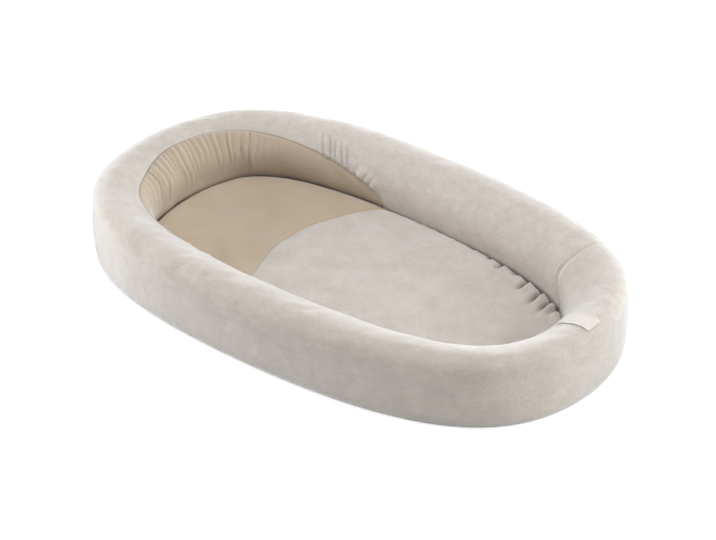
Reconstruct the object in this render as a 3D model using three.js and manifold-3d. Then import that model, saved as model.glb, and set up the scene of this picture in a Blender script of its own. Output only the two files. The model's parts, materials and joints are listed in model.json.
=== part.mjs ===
// Infant lounger: an oval padded bolster round a thin mattress, in a sewn zip-off cover.
// Millimetres. +X points to the foot end, +Z up, origin on the floor under the middle.
import * as THREE from "three";
import { mergeVertices } from "three/addons/utils/BufferGeometryUtils.js";
import Module from "manifold-3d";

const wasm = await Module();
wasm.setup();

// Overall plan of the bolster's outer edge
const LENGTH = 850;
const MIDDLE_WIDTH = 511;
const cornerShare = 0.028;
const flatEndShare = -0.006;
const eggShare = 0.047;
const endFullnessShare = 0.038;

// Section of the bolster
const RIM_HEIGHT_HEAD = 107.5;
const RIM_HEIGHT_FOOT = 103.4;
const BOLSTER_WIDTH_SIDE = 95.5;
const BOLSTER_WIDTH_HEAD = 88;
const BOLSTER_WIDTH_FOOT = 84;
const FOOTPRINT_SIDE = 95;
const FOOTPRINT_HEAD = 99.5;
const FOOTPRINT_FOOT = 93.5;
const OUTER_ROUND_DROP = 31;
const WALL_STRAIGHT_HEAD = 15;
const WALL_STRAIGHT_FOOT = 10.9;
const WALL_LEAN = 2.7;
const crestShare = 0.325;

// Lying surface
const FLOOR_EDGE_HEIGHT = 29.5;
const FLOOR_CROWN = 5;
const crownPower = 4;
const floorRingShares = [0, 0.3, 0.58, 0.8, 0.93, 1];

// Fabric, lining and the clearance between neighbours
const VELOUR = 2.4;
const LINING = 1.2;
const BASE_FABRIC = 2.4;
const BASE_STEP_RUN = 8;
const CLEARANCE = 0.3;
const LINING_EASE = 0.5;
const TUCK = 3;

// Seams
const JOIN_SEAM_ANGLE = 47;
const JOIN_SEAM_HALF_ANGLE = 1.2;
const JOIN_SEAM_DEPTH = 1.5;
const CRESCENT_TIP_ANGLE = 99.7;
const CRESCENT_RISE = 82;
const CRESCENT_TIP_RISE = 3;
const crescentPower = 0.45;
const SIDE_ROW_RISE = 45;
const SIDE_ROW_RUN_ANGLE = 18;
const HEAD_PANEL_LENGTH = 201.5;
const FLOOR_SEAM_RADIUS = 250;
const CUT_OVERRUN = 20;

// Folds of the gathered head panel
const FOLD_HEIGHT = 3.2;
const FOLD_COUNT = 20;
const foldVariationShare = 0.35;
const foldRhythm = 2.3;

// Openings left in the two linings
const LINING_SLIT = 24;
const HEM_FROM_TAPE = 8;

// Zip under the base
const WINDOW_FROM_MATTRESS_END = 59.5;
const WINDOW_SIDE_ROOM = 2.4;
const TAPE_PAST_WINDOW = 6;
const TAPE_WIDTH = 19;
const TAPE_THICKNESS = 0.6;
const COIL_FROM_WINDOW_END = 8;
const COIL_WIDTH = 2.2;
const COIL_HEIGHT = 2;
const STOP_LENGTH = 2.6;
const STOP_HEIGHT = 2.6;
const SLIDER_LENGTH = 12;
const SLIDER_WIDTH = 9.2;
const SLIDER_PLATE = 0.8;
const SLIDER_WEB = 0.8;
const SLIDER_LIP_WIDTH = 0.7;
const SLIDER_REST_FROM_END = 8;
const PIN_RADIUS = 0.5;
const EAR_SPACING = 3.2;
const EAR_WIDTH = 0.8;
const EAR_LENGTH = 3.2;
const EYE_WALL = 0.5;
const PULL_THICKNESS = 1.2;
const PULL_NECK_LENGTH = 4;
const PULL_WIDTH = 7.2;
const PULL_LENGTH = 22;
const PULL_CORNER = 2.6;
const PULL_FLOOR_GAP = 0.2;
const FOAM_GROOVE_SIDE_ROOM = 3.4;
const FOAM_GROOVE_HEADROOM = 1;

// Labels, both bare
const BADGE_WIDTH = 30;
const BADGE_THICKNESS = 0.6;
const badgeStartRow = 4.2;
const badgeEndRow = 8;
const CARE_LABEL_LENGTH = 40;
const CARE_LABEL_WIDTH = 25;
const CARE_LABEL_THICKNESS = 0.4;
const CARE_LABEL_FROM_WINDOW_END = 46;
const CARE_LABEL_FROM_WINDOW = 6;
const CARE_LABEL_DROP = 0.3;

// Mesh density
const OUTER_ROUND_STEPS = 4;
const INNER_ROUND_STEPS = 4;
const CRESCENT_STEPS = 3;
const stationSteps = [6, 20, 18];
const FOLD_STEPS = 4;
const ROUND_STEPS = 24;

const finishes = {
  velour: { color: 0xd2cac2, roughness: 0.95, metalness: 0 },
  cotton: { color: 0xc4b197, roughness: 0.9, metalness: 0 },
  base: { color: 0xc3bbb1, roughness: 0.95, metalness: 0 },
  foam: { color: 0xe9e4d6, roughness: 1, metalness: 0 },
  lining: { color: 0xf1eee8, roughness: 0.9, metalness: 0 },
  tape: { color: 0xbfb5a8, roughness: 0.85, metalness: 0 },
  coil: { color: 0xcdc4b8, roughness: 0.5, metalness: 0 },
  metal: { color: 0xb9b6b0, roughness: 0.35, metalness: 1 },
  satin: { color: 0xece5d6, roughness: 0.6, metalness: 0 },
};

const radians = THREE.MathUtils.degToRad;
const lerp = THREE.MathUtils.lerp;

// Lengths along the zip, from the mattress's head end
const mattressHeadReach = LENGTH / 2 - FOOTPRINT_HEAD;
const windowLength = 2 * (mattressHeadReach - WINDOW_FROM_MATTRESS_END);
const tapeLength = windowLength + 2 * TAPE_PAST_WINDOW;
const coilLength = windowLength - 2 * COIL_FROM_WINDOW_END;

// Widths across the zip, from its slider
const windowWidth = SLIDER_WIDTH + 2 * WINDOW_SIDE_ROOM;
const grooveWidth = SLIDER_WIDTH + 2 * FOAM_GROOVE_SIDE_ROOM;
const coilSpacing = SLIDER_WEB + 2 * CLEARANCE;

// Heights at the zip, from the floor up: the base is lifted until the pull hangs clear of the floor.
const eyeRadius = PIN_RADIUS + CLEARANCE + EYE_WALL;
const sliderLipHeight = (COIL_HEIGHT - TAPE_THICKNESS) / 2;
const pinHeight = PULL_FLOOR_GAP + eyeRadius;
const sliderBottom = pinHeight + eyeRadius + CLEARANCE;
const coilBottom = sliderBottom + SLIDER_PLATE + CLEARANCE;
const coilMiddleHeight = coilBottom + COIL_HEIGHT / 2;
const sliderTop = coilBottom + COIL_HEIGHT + CLEARANCE + SLIDER_PLATE;
const mattressSeat = coilMiddleHeight - TAPE_THICKNESS / 2;
const baseLift = mattressSeat - CLEARANCE - BASE_FABRIC;

// Rows of the section, counted from the outer bottom edge over the rim to the mattress
const CREST_ROW = 1 + OUTER_ROUND_STEPS;
const SEAM_ROW = CREST_ROW + INNER_ROUND_STEPS;
const FLOOR_ROW = SEAM_ROW + CRESCENT_STEPS;
const TUCK_ROW = FLOOR_ROW + 1;

// Outer edge

function edgePoint(angle) {
  const scale = 1 - cornerShare + flatEndShare;
  const along = Math.cos(angle) - cornerShare * Math.cos(3 * angle) + flatEndShare * Math.cos(5 * angle);
  const across = Math.sin(angle) + cornerShare * Math.sin(3 * angle) + flatEndShare * Math.sin(5 * angle);
  const c = along / scale;
  const spread = (1 - eggShare * c) * (1 + endFullnessShare * c * c);
  return new THREE.Vector2((LENGTH / 2) * c, ((MIDDLE_WIDTH / 2) * spread * across) / scale);
}

function inwardNormal(angle) {
  const step = 1e-4;
  const run = edgePoint(angle + step).sub(edgePoint(angle - step)).normalize();
  return new THREE.Vector2(-run.y, run.x);
}

// A size that differs at the head, the sides and the foot
function alongBody(c, side, head, foot) {
  return side + (c < 0 ? head - side : foot - side) * c * c;
}

// Height of the seam row above the mattress edge, measured along the inner wall
function seamRise(degrees) {
  const fromHead = Math.abs(degrees - 180);
  const reach = 180 - CRESCENT_TIP_ANGLE;
  if (fromHead > reach) {
    const away = Math.min(1, (fromHead - reach) / SIDE_ROW_RUN_ANGLE);
    return lerp(CRESCENT_TIP_RISE, SIDE_ROW_RISE, away);
  }
  const tip = edgePoint(radians(CRESCENT_TIP_ANGLE)).x;
  const share = (tip - edgePoint(radians(degrees)).x) / (tip + LENGTH / 2);
  return Math.max(CRESCENT_TIP_RISE, CRESCENT_RISE * Math.pow(Math.max(0, share), crescentPower));
}

function stationAt(degrees) {
  const angle = radians(degrees);
  const edge = edgePoint(angle);
  const c = edge.x / (LENGTH / 2);
  const width = alongBody(c, BOLSTER_WIDTH_SIDE, BOLSTER_WIDTH_HEAD, BOLSTER_WIDTH_FOOT);
  const footprint = alongBody(c, FOOTPRINT_SIDE, FOOTPRINT_HEAD, FOOTPRINT_FOOT);
  const top = lerp(RIM_HEIGHT_HEAD, RIM_HEIGHT_FOOT, (1 + c) / 2);
  const crest = width * crestShare;
  const straight = lerp(WALL_STRAIGHT_HEAD, WALL_STRAIGHT_FOOT, (1 + c) / 2);
  const round = top - FLOOR_EDGE_HEIGHT - straight;
  const bend = (width - crest + round) / 2;
  const rise = seamRise(degrees);
  return { edge, normal: inwardNormal(angle), width, footprint, top, crest, straight, round, bend, rise };
}

// Stations follow the edge between the join seam and the two tips of the head crescent.
function makeStations() {
  const seamStart = JOIN_SEAM_ANGLE + JOIN_SEAM_HALF_ANGLE;
  const seamEnd = 360 + JOIN_SEAM_ANGLE - JOIN_SEAM_HALF_ANGLE;
  const stops = [seamStart, CRESCENT_TIP_ANGLE, 360 - CRESCENT_TIP_ANGLE, seamEnd];
  const list = [stationAt(JOIN_SEAM_ANGLE)];
  stationSteps.forEach((steps, part) => {
    for (let i = 0; i < steps; i++) {
      list.push(stationAt(lerp(stops[part], stops[part + 1], i / steps)));
    }
  });
  list.push(stationAt(seamEnd));
  return list;
}

const stations = makeStations();
const STATION_COUNT = stations.length;
const HEAD_FIRST = 1 + stationSteps[0];
const HEAD_LAST = HEAD_FIRST + stationSteps[1];

function station(index) {
  return stations[((index % STATION_COUNT) + STATION_COUNT) % STATION_COUNT];
}

// Section of the bolster, which stands on the edge of the base

const bolsterSeat = BASE_FABRIC + CLEARANCE;

function outerRound(at, inset, turn) {
  const u = at.crest - (at.crest - WALL_LEAN - inset) * Math.cos(turn);
  const z = at.top - OUTER_ROUND_DROP + (OUTER_ROUND_DROP - inset) * Math.sin(turn);
  return [u, z];
}

// Point of the inner wall at a height measured along it from the mattress edge
function innerWall(at, inset, rise) {
  if (rise < at.straight) {
    const share = rise / at.straight;
    return [lerp(at.footprint, at.width, share) - inset, FLOOR_EDGE_HEIGHT + rise];
  }
  const turn = Math.PI / 2 - (rise - at.straight) / at.bend;
  const u = at.crest + (at.width - at.crest - inset) * Math.sin(turn);
  const z = at.top - at.round + (at.round - inset) * Math.cos(turn);
  return [u, z];
}

function sectionRow(at, row, inset, seamShift = 0) {
  const crestRise = at.straight + (at.bend * Math.PI) / 2;
  const seam = at.rise - seamShift;
  if (row === 0) {
    return [inset, bolsterSeat];
  }
  if (row <= CREST_ROW) {
    return outerRound(at, inset, ((row - 1) / OUTER_ROUND_STEPS) * (Math.PI / 2));
  }
  if (row <= SEAM_ROW) {
    return innerWall(at, inset, lerp(crestRise, seam, (row - CREST_ROW) / INNER_ROUND_STEPS));
  }
  if (row <= FLOOR_ROW) {
    return innerWall(at, inset, lerp(seam, 0, (row - SEAM_ROW) / CRESCENT_STEPS));
  }
  return [at.footprint - inset, FLOOR_EDGE_HEIGHT - TUCK];
}

function place(at, u, z) {
  const flat = at.edge.clone().addScaledVector(at.normal, u);
  return new THREE.Vector3(flat.x, flat.y, z);
}

// Point of the bolster's surface, also between stations and between rows
function bolsterPoint(s, row, inset, seamShift = 0) {
  const corner = (i, r) => place(station(i), ...sectionRow(station(i), r, inset, seamShift));
  const [i, r] = [Math.floor(s), Math.floor(row)];
  const line = (index) => corner(index, r).lerp(corner(index, Math.min(r + 1, TUCK_ROW)), row - r);
  return line(i).lerp(line(i + 1), s - i);
}

// Closed bodies from cells of a grid

function cellGrid(sList, rList) {
  const cells = [];
  for (let i = 0; i + 1 < sList.length; i++) {
    for (let j = 0; j + 1 < rList.length; j++) {
      cells.push([
        [sList[i], rList[j]],
        [sList[i + 1], rList[j]],
        [sList[i + 1], rList[j + 1]],
        [sList[i], rList[j + 1]],
      ]);
    }
  }
  return cells;
}

function range(first, last, step = 1) {
  const list = [];
  for (let i = 0; i <= Math.round((last - first) / step); i++) {
    list.push(first + i * step);
  }
  return list;
}

// Points this share of the length apart count as one.
const sameStepShare = 1 / 262144;

// Gathers points and faces, sharing each point that is met again.
class Body {
  constructor() {
    this.points = [];
    this.faces = [];
    this.found = new Map();
  }
  vertex(point) {
    const key = point.toArray().map((v) => Math.round(v / (LENGTH * sameStepShare))).join();
    if (!this.found.has(key)) {
      this.found.set(key, this.points.length);
      this.points.push(point);
    }
    return this.found.get(key);
  }
  face(corners) {
    const ids = corners.map((corner) => this.vertex(corner));
    for (let i = 1; i + 1 < ids.length; i++) {
      const triangle = [ids[0], ids[i], ids[i + 1]];
      if (new Set(triangle).size === 3) {
        this.faces.push(triangle);
      }
    }
  }
  volume() {
    return this.faces.reduce((sum, [a, b, c]) => {
      const [p, q, r] = [this.points[a], this.points[b], this.points[c]];
      return sum + p.dot(q.clone().cross(r)) / 6;
    }, 0);
  }
  geometry() {
    const inward = this.volume() < 0;
    const order = this.faces.map(([a, b, c]) => (inward ? [a, c, b] : [a, b, c]));
    const geometry = new THREE.BufferGeometry();
    const flat = this.points.flatMap((point) => point.toArray());
    geometry.setAttribute("position", new THREE.Float32BufferAttribute(flat, 3));
    geometry.setIndex(order.flat());
    return geometry;
  }
}

function closedSurface(cells, point) {
  const body = new Body();
  cells.forEach((cell) => body.face(cell.map(([s, r]) => point(s, r))));
  return body.geometry();
}

// Sheet with thickness: two faces and a wall along every open edge
function sheet(cells, outside, inside) {
  const body = new Body();
  const edges = new Map();
  const name = (a, b) => [body.vertex(a), body.vertex(b)].join();
  for (const cell of cells) {
    const outer = cell.map(([s, r]) => outside(s, r));
    const inner = cell.map(([s, r]) => inside(s, r));
    body.face(outer);
    body.face([inner[0], ...inner.slice(1).reverse()]);
    outer.forEach((a, i) => {
      const next = (i + 1) % outer.length;
      edges.set(name(a, outer[next]), [a, outer[next], inner[next], inner[i]]);
    });
  }
  for (const [a, b, innerB, innerA] of edges.values()) {
    const single = body.vertex(a) !== body.vertex(b) && !edges.has(name(b, a));
    if (single) {
      body.face([b, a, innerA, innerB]);
    }
  }
  return body.geometry();
}

// Boolean cuts and joins

function toManifold(source) {
  const bare = source.clone();
  bare.deleteAttribute("normal");
  bare.deleteAttribute("uv");
  const merged = mergeVertices(bare, LENGTH * 1e-7);
  return new wasm.Manifold(
    new wasm.Mesh({
      numProp: 3,
      vertProperties: new Float32Array(merged.attributes.position.array),
      triVerts: new Uint32Array(merged.index.array),
    }),
  );
}

function fromManifold(result) {
  const { vertProperties, triVerts } = result.getMesh();
  const geometry = new THREE.BufferGeometry();
  geometry.setAttribute("position", new THREE.Float32BufferAttribute(vertProperties, 3));
  geometry.setIndex(Array.from(triVerts));
  return geometry;
}

function cut(body, ...tools) {
  return fromManifold(tools.reduce((left, tool) => left.subtract(toManifold(tool)), toManifold(body)));
}

function join(first, ...rest) {
  return fromManifold(rest.reduce((whole, piece) => whole.add(toManifold(piece)), toManifold(first)));
}

function keep(body, region) {
  return fromManifold(toManifold(body).intersect(toManifold(region)));
}

// A box from its lowest to its highest corner
function block(low, high) {
  const size = high.map((v, i) => v - low[i]);
  return new THREE.BoxGeometry(...size).translate(...low.map((v, i) => v + size[i] / 2));
}

function rodAcross(radius, length, x, z) {
  return new THREE.CylinderGeometry(radius, radius, length, ROUND_STEPS).translate(x, 0, z);
}

function piece(name, geometry, finish) {
  geometry.computeVertexNormals();
  const mesh = new THREE.Mesh(geometry, new THREE.MeshStandardMaterial(finishes[finish]));
  mesh.name = name;
  return mesh;
}

// Bolster

const linerInset = VELOUR + LINING_EASE;
const fillInset = linerInset + LINING + CLEARANCE;
const liningRows = [0, 1, 3, 5, 7, SEAM_ROW, SEAM_ROW + 2, FLOOR_ROW];

function bolsterCover() {
  const wholeRing = cellGrid(range(0, STATION_COUNT), range(0, SEAM_ROW));
  const afterHead = cellGrid(range(HEAD_LAST, STATION_COUNT), range(SEAM_ROW, TUCK_ROW));
  const beforeHead = cellGrid(range(0, HEAD_FIRST), range(SEAM_ROW, TUCK_ROW));
  const grooved = (s) => (s % STATION_COUNT === 0 ? JOIN_SEAM_DEPTH : 0);
  const outside = (s, r) => bolsterPoint(s, r, grooved(s));
  const inside = (s, r) => bolsterPoint(s, r, VELOUR);
  return piece("bolster_cover", sheet([...wholeRing, ...afterHead, ...beforeHead], outside, inside), "velour");
}

// Height of the gathers: deepest in the middle of the panel, none at its seams
function foldHeight(s, row) {
  const share = (s - HEAD_FIRST) / (HEAD_LAST - HEAD_FIRST);
  const wave = (1 - Math.cos(2 * Math.PI * FOLD_COUNT * share)) / 2;
  const variation = 1 - foldVariationShare * (1 + Math.sin(foldRhythm * FOLD_COUNT * share)) * 0.5;
  const down = THREE.MathUtils.clamp((row - SEAM_ROW) / CRESCENT_STEPS, 0, 1);
  return FOLD_HEIGHT * wave * variation * Math.sin(Math.PI * share) * Math.sin(Math.PI * down);
}

function headWallPanel() {
  const endShift = CLEARANCE / station(HEAD_FIRST).edge.distanceTo(station(HEAD_FIRST + 1).edge);
  const along = range(HEAD_FIRST, HEAD_LAST, 1 / FOLD_STEPS);
  along[0] += endShift;
  along[along.length - 1] -= endShift;
  const outside = (s, r) => bolsterPoint(s, r, -foldHeight(s, r), CLEARANCE);
  const inside = (s, r) => bolsterPoint(s, r, VELOUR, CLEARANCE);
  return piece("head_wall_panel", sheet(cellGrid(along, range(SEAM_ROW, TUCK_ROW)), outside, inside), "cotton");
}

// The lining wraps the filling and is open along a slit underneath.
function bolsterLining() {
  const hemOut = liningRows.length;
  const point = (s, j, inset, seat) => {
    const at = station(s);
    const middle = at.footprint / 2;
    if (j === -1) {
      return place(at, middle - LINING_SLIT / 2, seat);
    }
    if (j === 0) {
      return place(at, inset, seat);
    }
    if (j < hemOut) {
      return place(at, ...sectionRow(at, liningRows[j], inset));
    }
    return place(at, j === hemOut ? at.footprint - inset : middle + LINING_SLIT / 2, seat);
  };
  const outside = (s, j) => point(s, j, linerInset, bolsterSeat);
  const inside = (s, j) => point(s, j, linerInset + LINING, bolsterSeat + LINING);
  const cells = cellGrid(range(0, STATION_COUNT), range(-1, hemOut + 1));
  return piece("bolster_lining", sheet(cells, outside, inside), "lining");
}

function bolsterFilling() {
  const corners = liningRows.length + 1;
  const seat = bolsterSeat + LINING + CLEARANCE;
  const point = (s, j) => {
    const at = station(s);
    const k = j % corners;
    if (k === 0) {
      return place(at, fillInset, seat);
    }
    if (k < corners - 1) {
      return place(at, ...sectionRow(at, liningRows[k], fillInset));
    }
    return place(at, at.footprint - fillInset, seat);
  };
  return piece("bolster_filling", closedSurface(cellGrid(range(0, STATION_COUNT), range(0, corners)), point), "foam");
}

// Mattress and the panels above and below it

const floorRings = floorRingShares.length - 1;

function crownAt(share) {
  return FLOOR_EDGE_HEIGHT + FLOOR_CROWN * (1 - Math.pow(share, crownPower));
}

// Point of a ring parallel to the mattress edge, drawn towards the middle by a share
function floorPoint(s, beyondEdge, share, z) {
  const at = station(s);
  return place(at, at.footprint + beyondEdge, z).multiply(new THREE.Vector3(share, share, 1));
}

function floorSheet() {
  const at = (s, ring, down) => {
    const share = floorRingShares[ring];
    return floorPoint(s, CLEARANCE, share, crownAt(share) - down);
  };
  const cells = cellGrid(range(0, STATION_COUNT), range(0, floorRings));
  return sheet(cells, (s, r) => at(s, r, 0), (s, r) => at(s, r, VELOUR));
}

// Region on the head side of the curved floor seam
function headSide(shift) {
  const halfSpan = MIDDLE_WIDTH / 2 - BOLSTER_WIDTH_SIDE + CUT_OVERRUN;
  const swing = Math.asin(halfSpan / FLOOR_SEAM_RADIUS);
  const middleX = HEAD_PANEL_LENGTH - mattressHeadReach + shift + FLOOR_SEAM_RADIUS;
  const shape = new THREE.Shape();
  shape.moveTo(-LENGTH / 2, halfSpan);
  shape.lineTo(-LENGTH / 2, -halfSpan);
  shape.lineTo(middleX - FLOOR_SEAM_RADIUS * Math.cos(swing), -halfSpan);
  shape.absarc(middleX, 0, FLOOR_SEAM_RADIUS, Math.PI + swing, Math.PI - swing, true);
  const height = FLOOR_EDGE_HEIGHT + FLOOR_CROWN + CUT_OVERRUN;
  return new THREE.ExtrudeGeometry(shape, { depth: height, bevelEnabled: false, curveSegments: ROUND_STEPS });
}

function floorPanels() {
  const whole = floorSheet();
  return [
    piece("head_floor_panel", keep(whole, headSide(0)), "cotton"),
    piece("foot_floor_panel", cut(whole, headSide(CLEARANCE)), "velour"),
  ];
}

// The casing covers the top and sides of the mattress and turns in underneath, up to the zip tapes.
function mattressCasing() {
  const hemShare = (tapeLength / 2 + HEM_FROM_TAPE) / mattressHeadReach;
  const point = (s, j, beyond, topDrop, seat) => {
    if (j <= floorRings) {
      const share = floorRingShares[j];
      return floorPoint(s, beyond, share, crownAt(share) - topDrop);
    }
    return floorPoint(s, beyond, j === floorRings + 1 ? 1 : hemShare, seat);
  };
  const top = VELOUR + CLEARANCE;
  const outside = (s, j) => point(s, j, CLEARANCE, top, mattressSeat);
  const inside = (s, j) => point(s, j, CLEARANCE + LINING, top + LINING, mattressSeat + LINING);
  const cells = cellGrid(range(0, STATION_COUNT), range(0, floorRings + 2));
  return piece("mattress_casing", sheet(cells, outside, inside), "lining");
}

// The foam core has a shallow groove over the zip.
function mattressCore() {
  const seat = mattressSeat + LINING + CLEARANCE;
  const topDrop = VELOUR + CLEARANCE + LINING + CLEARANCE;
  const beyond = CLEARANCE + LINING + CLEARANCE;
  const point = (s, j) => {
    if (j <= floorRings) {
      const share = floorRingShares[j];
      return floorPoint(s, beyond, share, crownAt(share) - topDrop);
    }
    return floorPoint(s, beyond, j === floorRings + 1 ? 1 : 0, seat);
  };
  const body = closedSurface(cellGrid(range(0, STATION_COUNT), range(0, floorRings + 2)), point);
  const low = [-windowLength / 2, -grooveWidth / 2, seat - CUT_OVERRUN];
  const high = [windowLength / 2, grooveWidth / 2, sliderTop + FOAM_GROOVE_HEADROOM];
  return piece("mattress_core", cut(body, block(low, high)), "foam");
}

function basePlate() {
  const lines = [
    (s, z) => floorPoint(s, BASE_STEP_RUN, 0, z + baseLift),
    (s, z) => floorPoint(s, BASE_STEP_RUN, 1, z + baseLift),
    (s, z) => floorPoint(s, 0, 1, z),
    (s, z) => place(station(s), 0, z),
  ];
  const cells = cellGrid(range(0, STATION_COUNT), range(0, lines.length - 1));
  return sheet(cells, (s, r) => lines[r](s, 0), (s, r) => lines[r](s, BASE_FABRIC));
}

// Two halves of the base meet in a seam along the middle, which opens round the zip.
function basePanels() {
  const whole = basePlate();
  const reach = LENGTH / 2 + CUT_OVERRUN;
  const top = baseLift + BASE_FABRIC + CUT_OVERRUN;
  const window = block(
    [-windowLength / 2, -windowWidth / 2, -CUT_OVERRUN],
    [windowLength / 2, windowWidth / 2, top],
  );
  const beyondSeam = block([-reach, -CLEARANCE / 2, -CUT_OVERRUN], [reach, reach, top]);
  return [1, -1].map((side) => {
    const otherSide = beyondSeam.clone();
    if (side > 0) {
      otherSide.rotateX(Math.PI).translate(0, 0, top - CUT_OVERRUN);
    }
    const name = side > 0 ? "base_panel_left" : "base_panel_right";
    return piece(name, cut(whole, otherSide, window), "base");
  });
}

// Zip

const coilEdge = coilSpacing / 2 + COIL_WIDTH;
const tapeStart = coilEdge + CLEARANCE;
const stopStart = coilLength / 2 + CLEARANCE;

function zipSide(side) {
  const sideName = side > 0 ? "left" : "right";
  const tape = block(
    [-tapeLength / 2, tapeStart, mattressSeat],
    [tapeLength / 2, tapeStart + TAPE_WIDTH, mattressSeat + TAPE_THICKNESS],
  );
  const section = new THREE.Shape();
  section.absellipse(0, 0, COIL_HEIGHT / 2, COIL_WIDTH / 2, 0, 2 * Math.PI);
  const coil = new THREE.ExtrudeGeometry(section, { depth: coilLength, bevelEnabled: false, curveSegments: 4 });
  coil.rotateY(Math.PI / 2).translate(-coilLength / 2, coilEdge - COIL_WIDTH / 2, coilMiddleHeight);
  const stop = block(
    [stopStart, coilSpacing / 2, coilMiddleHeight - STOP_HEIGHT / 2],
    [stopStart + STOP_LENGTH, coilEdge, coilMiddleHeight + STOP_HEIGHT / 2],
  );
  const turned = side > 0 ? [] : [tape, coil, stop];
  turned.forEach((geometry) => geometry.applyMatrix4(new THREE.Matrix4().makeScale(1, -1, 1)));
  turned.forEach((geometry) => geometry.setIndex(flipped(geometry)));
  return [
    piece(`zip_tape_${sideName}`, tape, "tape"),
    piece(`zip_coil_${sideName}`, coil, "coil"),
    piece(`zip_top_stop_${sideName}`, stop, "metal"),
  ];
}

// Face order turned over, for a mirrored piece
function flipped(geometry) {
  const order = geometry.index ? Array.from(geometry.index.array) : range(0, geometry.attributes.position.count - 1);
  return order.map((id, i) => (i % 3 === 1 ? order[i + 1] : i % 3 === 2 ? order[i - 1] : id));
}

function zipBottomStop() {
  const low = [-stopStart - STOP_LENGTH, -coilEdge, coilMiddleHeight - STOP_HEIGHT / 2];
  const high = [-stopStart, coilEdge, coilMiddleHeight + STOP_HEIGHT / 2];
  return piece("zip_bottom_stop", block(low, high), "metal");
}

// The slider is built about its own middle: two plates, a web, lips and two ears with a pin.
function zipSlider() {
  const [halfLength, halfWidth] = [SLIDER_LENGTH / 2, SLIDER_WIDTH / 2];
  const plate = (z) => block([-halfLength, -halfWidth, z], [halfLength, halfWidth, z + SLIDER_PLATE]);
  const topPlate = sliderTop - SLIDER_PLATE;
  const web = block([-halfLength, -SLIDER_WEB / 2, sliderBottom], [halfLength, SLIDER_WEB / 2, sliderTop]);
  const lips = [1, -1].flatMap((side) => {
    const [a, b] = [side * halfWidth, side * (halfWidth - SLIDER_LIP_WIDTH)].sort((p, q) => p - q);
    const reach = SLIDER_PLATE + sliderLipHeight;
    return [
      block([-halfLength, a, sliderBottom], [halfLength, b, sliderBottom + reach]),
      block([-halfLength, a, sliderTop - reach], [halfLength, b, sliderTop]),
    ];
  });
  const ears = [1, -1].map((side) => {
    const [a, b] = [(side * EAR_SPACING) / 2, side * (EAR_SPACING / 2 + EAR_WIDTH)].sort((p, q) => p - q);
    return block([-EAR_LENGTH / 2, a, pinHeight - PIN_RADIUS], [EAR_LENGTH / 2, b, sliderBottom + SLIDER_PLATE / 2]);
  });
  const pin = rodAcross(PIN_RADIUS, EAR_SPACING + EAR_WIDTH, 0, pinHeight);
  return piece("zip_slider", join(plate(sliderBottom), plate(topPlate), web, ...lips, ...ears, pin), "metal");
}

// The pull is built about the pin's axis and lies back along the zip.
function zipPull() {
  const shape = new THREE.Shape();
  const [start, end, half] = [-PULL_NECK_LENGTH, -PULL_LENGTH, PULL_WIDTH / 2];
  shape.moveTo(start, -half);
  shape.lineTo(start, half);
  shape.lineTo(end + PULL_CORNER, half);
  shape.absarc(end + PULL_CORNER, half - PULL_CORNER, PULL_CORNER, Math.PI / 2, Math.PI, false);
  shape.lineTo(end, -half + PULL_CORNER);
  shape.absarc(end + PULL_CORNER, -half + PULL_CORNER, PULL_CORNER, Math.PI, 1.5 * Math.PI, false);
  shape.lineTo(start, -half);
  const tab = new THREE.ExtrudeGeometry(shape, { depth: PULL_THICKNESS, bevelEnabled: false, curveSegments: 4 });
  tab.translate(0, 0, -PULL_THICKNESS / 2);
  const eyeWidth = EAR_SPACING - 2 * CLEARANCE;
  const neck = block(
    [start - PULL_THICKNESS, -eyeWidth / 2, -PULL_THICKNESS / 2],
    [0, eyeWidth / 2, PULL_THICKNESS / 2],
  );
  const bore = rodAcross(PIN_RADIUS + CLEARANCE, EAR_SPACING, 0, 0);
  return piece("zip_pull", cut(join(tab, neck, rodAcross(eyeRadius, eyeWidth, 0, 0)), bore), "metal");
}

function zipGroup() {
  const group = new THREE.Group();
  group.add(...zipSide(1), ...zipSide(-1), zipBottomStop());
  const carriage = new THREE.Group();
  carriage.position.x = coilLength / 2 - SLIDER_REST_FROM_END;
  const pull = zipPull();
  pull.position.z = pinHeight;
  carriage.add(zipSlider(), pull);
  group.add(carriage);
  return group;
}

// Labels

// Station index, with its share of the way to the next, where the edge crosses a given Y at the foot
function footStation(y) {
  const crossing = range(HEAD_LAST, STATION_COUNT - 1).find((i) => station(i + 1).edge.y > y);
  const [a, b] = [station(crossing).edge.y, station(crossing + 1).edge.y];
  return crossing + (y - a) / (b - a);
}

function wovenLabel() {
  const [start, end] = [footStation(-BADGE_WIDTH / 2), footStation(BADGE_WIDTH / 2)];
  const between = range(Math.ceil(start), Math.floor(end));
  const rows = [badgeStartRow, ...range(Math.ceil(badgeStartRow), badgeEndRow)];
  const cells = cellGrid([start, ...between, end], rows);
  const outside = (s, r) => bolsterPoint(s, r, -CLEARANCE - BADGE_THICKNESS);
  const inside = (s, r) => bolsterPoint(s, r, -CLEARANCE);
  return piece("woven_label", sheet(cells, outside, inside), "satin");
}

function careLabel() {
  const top = baseLift - CARE_LABEL_DROP;
  const near = -windowWidth / 2 - CARE_LABEL_FROM_WINDOW;
  const end = windowLength / 2 - CARE_LABEL_FROM_WINDOW_END;
  const low = [end - CARE_LABEL_LENGTH, near - CARE_LABEL_WIDTH, top - CARE_LABEL_THICKNESS];
  return piece("care_label", block(low, [end, near, top]), "satin");
}

function lounger() {
  const whole = new THREE.Group();
  const cover = new THREE.Group();
  cover.add(bolsterCover(), headWallPanel(), ...floorPanels(), ...basePanels(), wovenLabel(), careLabel());
  const inside = new THREE.Group();
  inside.add(bolsterLining(), bolsterFilling(), mattressCasing(), mattressCore());
  whole.add(cover, inside, zipGroup());
  return whole;
}

export default lounger();
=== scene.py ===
import json
import math

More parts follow.
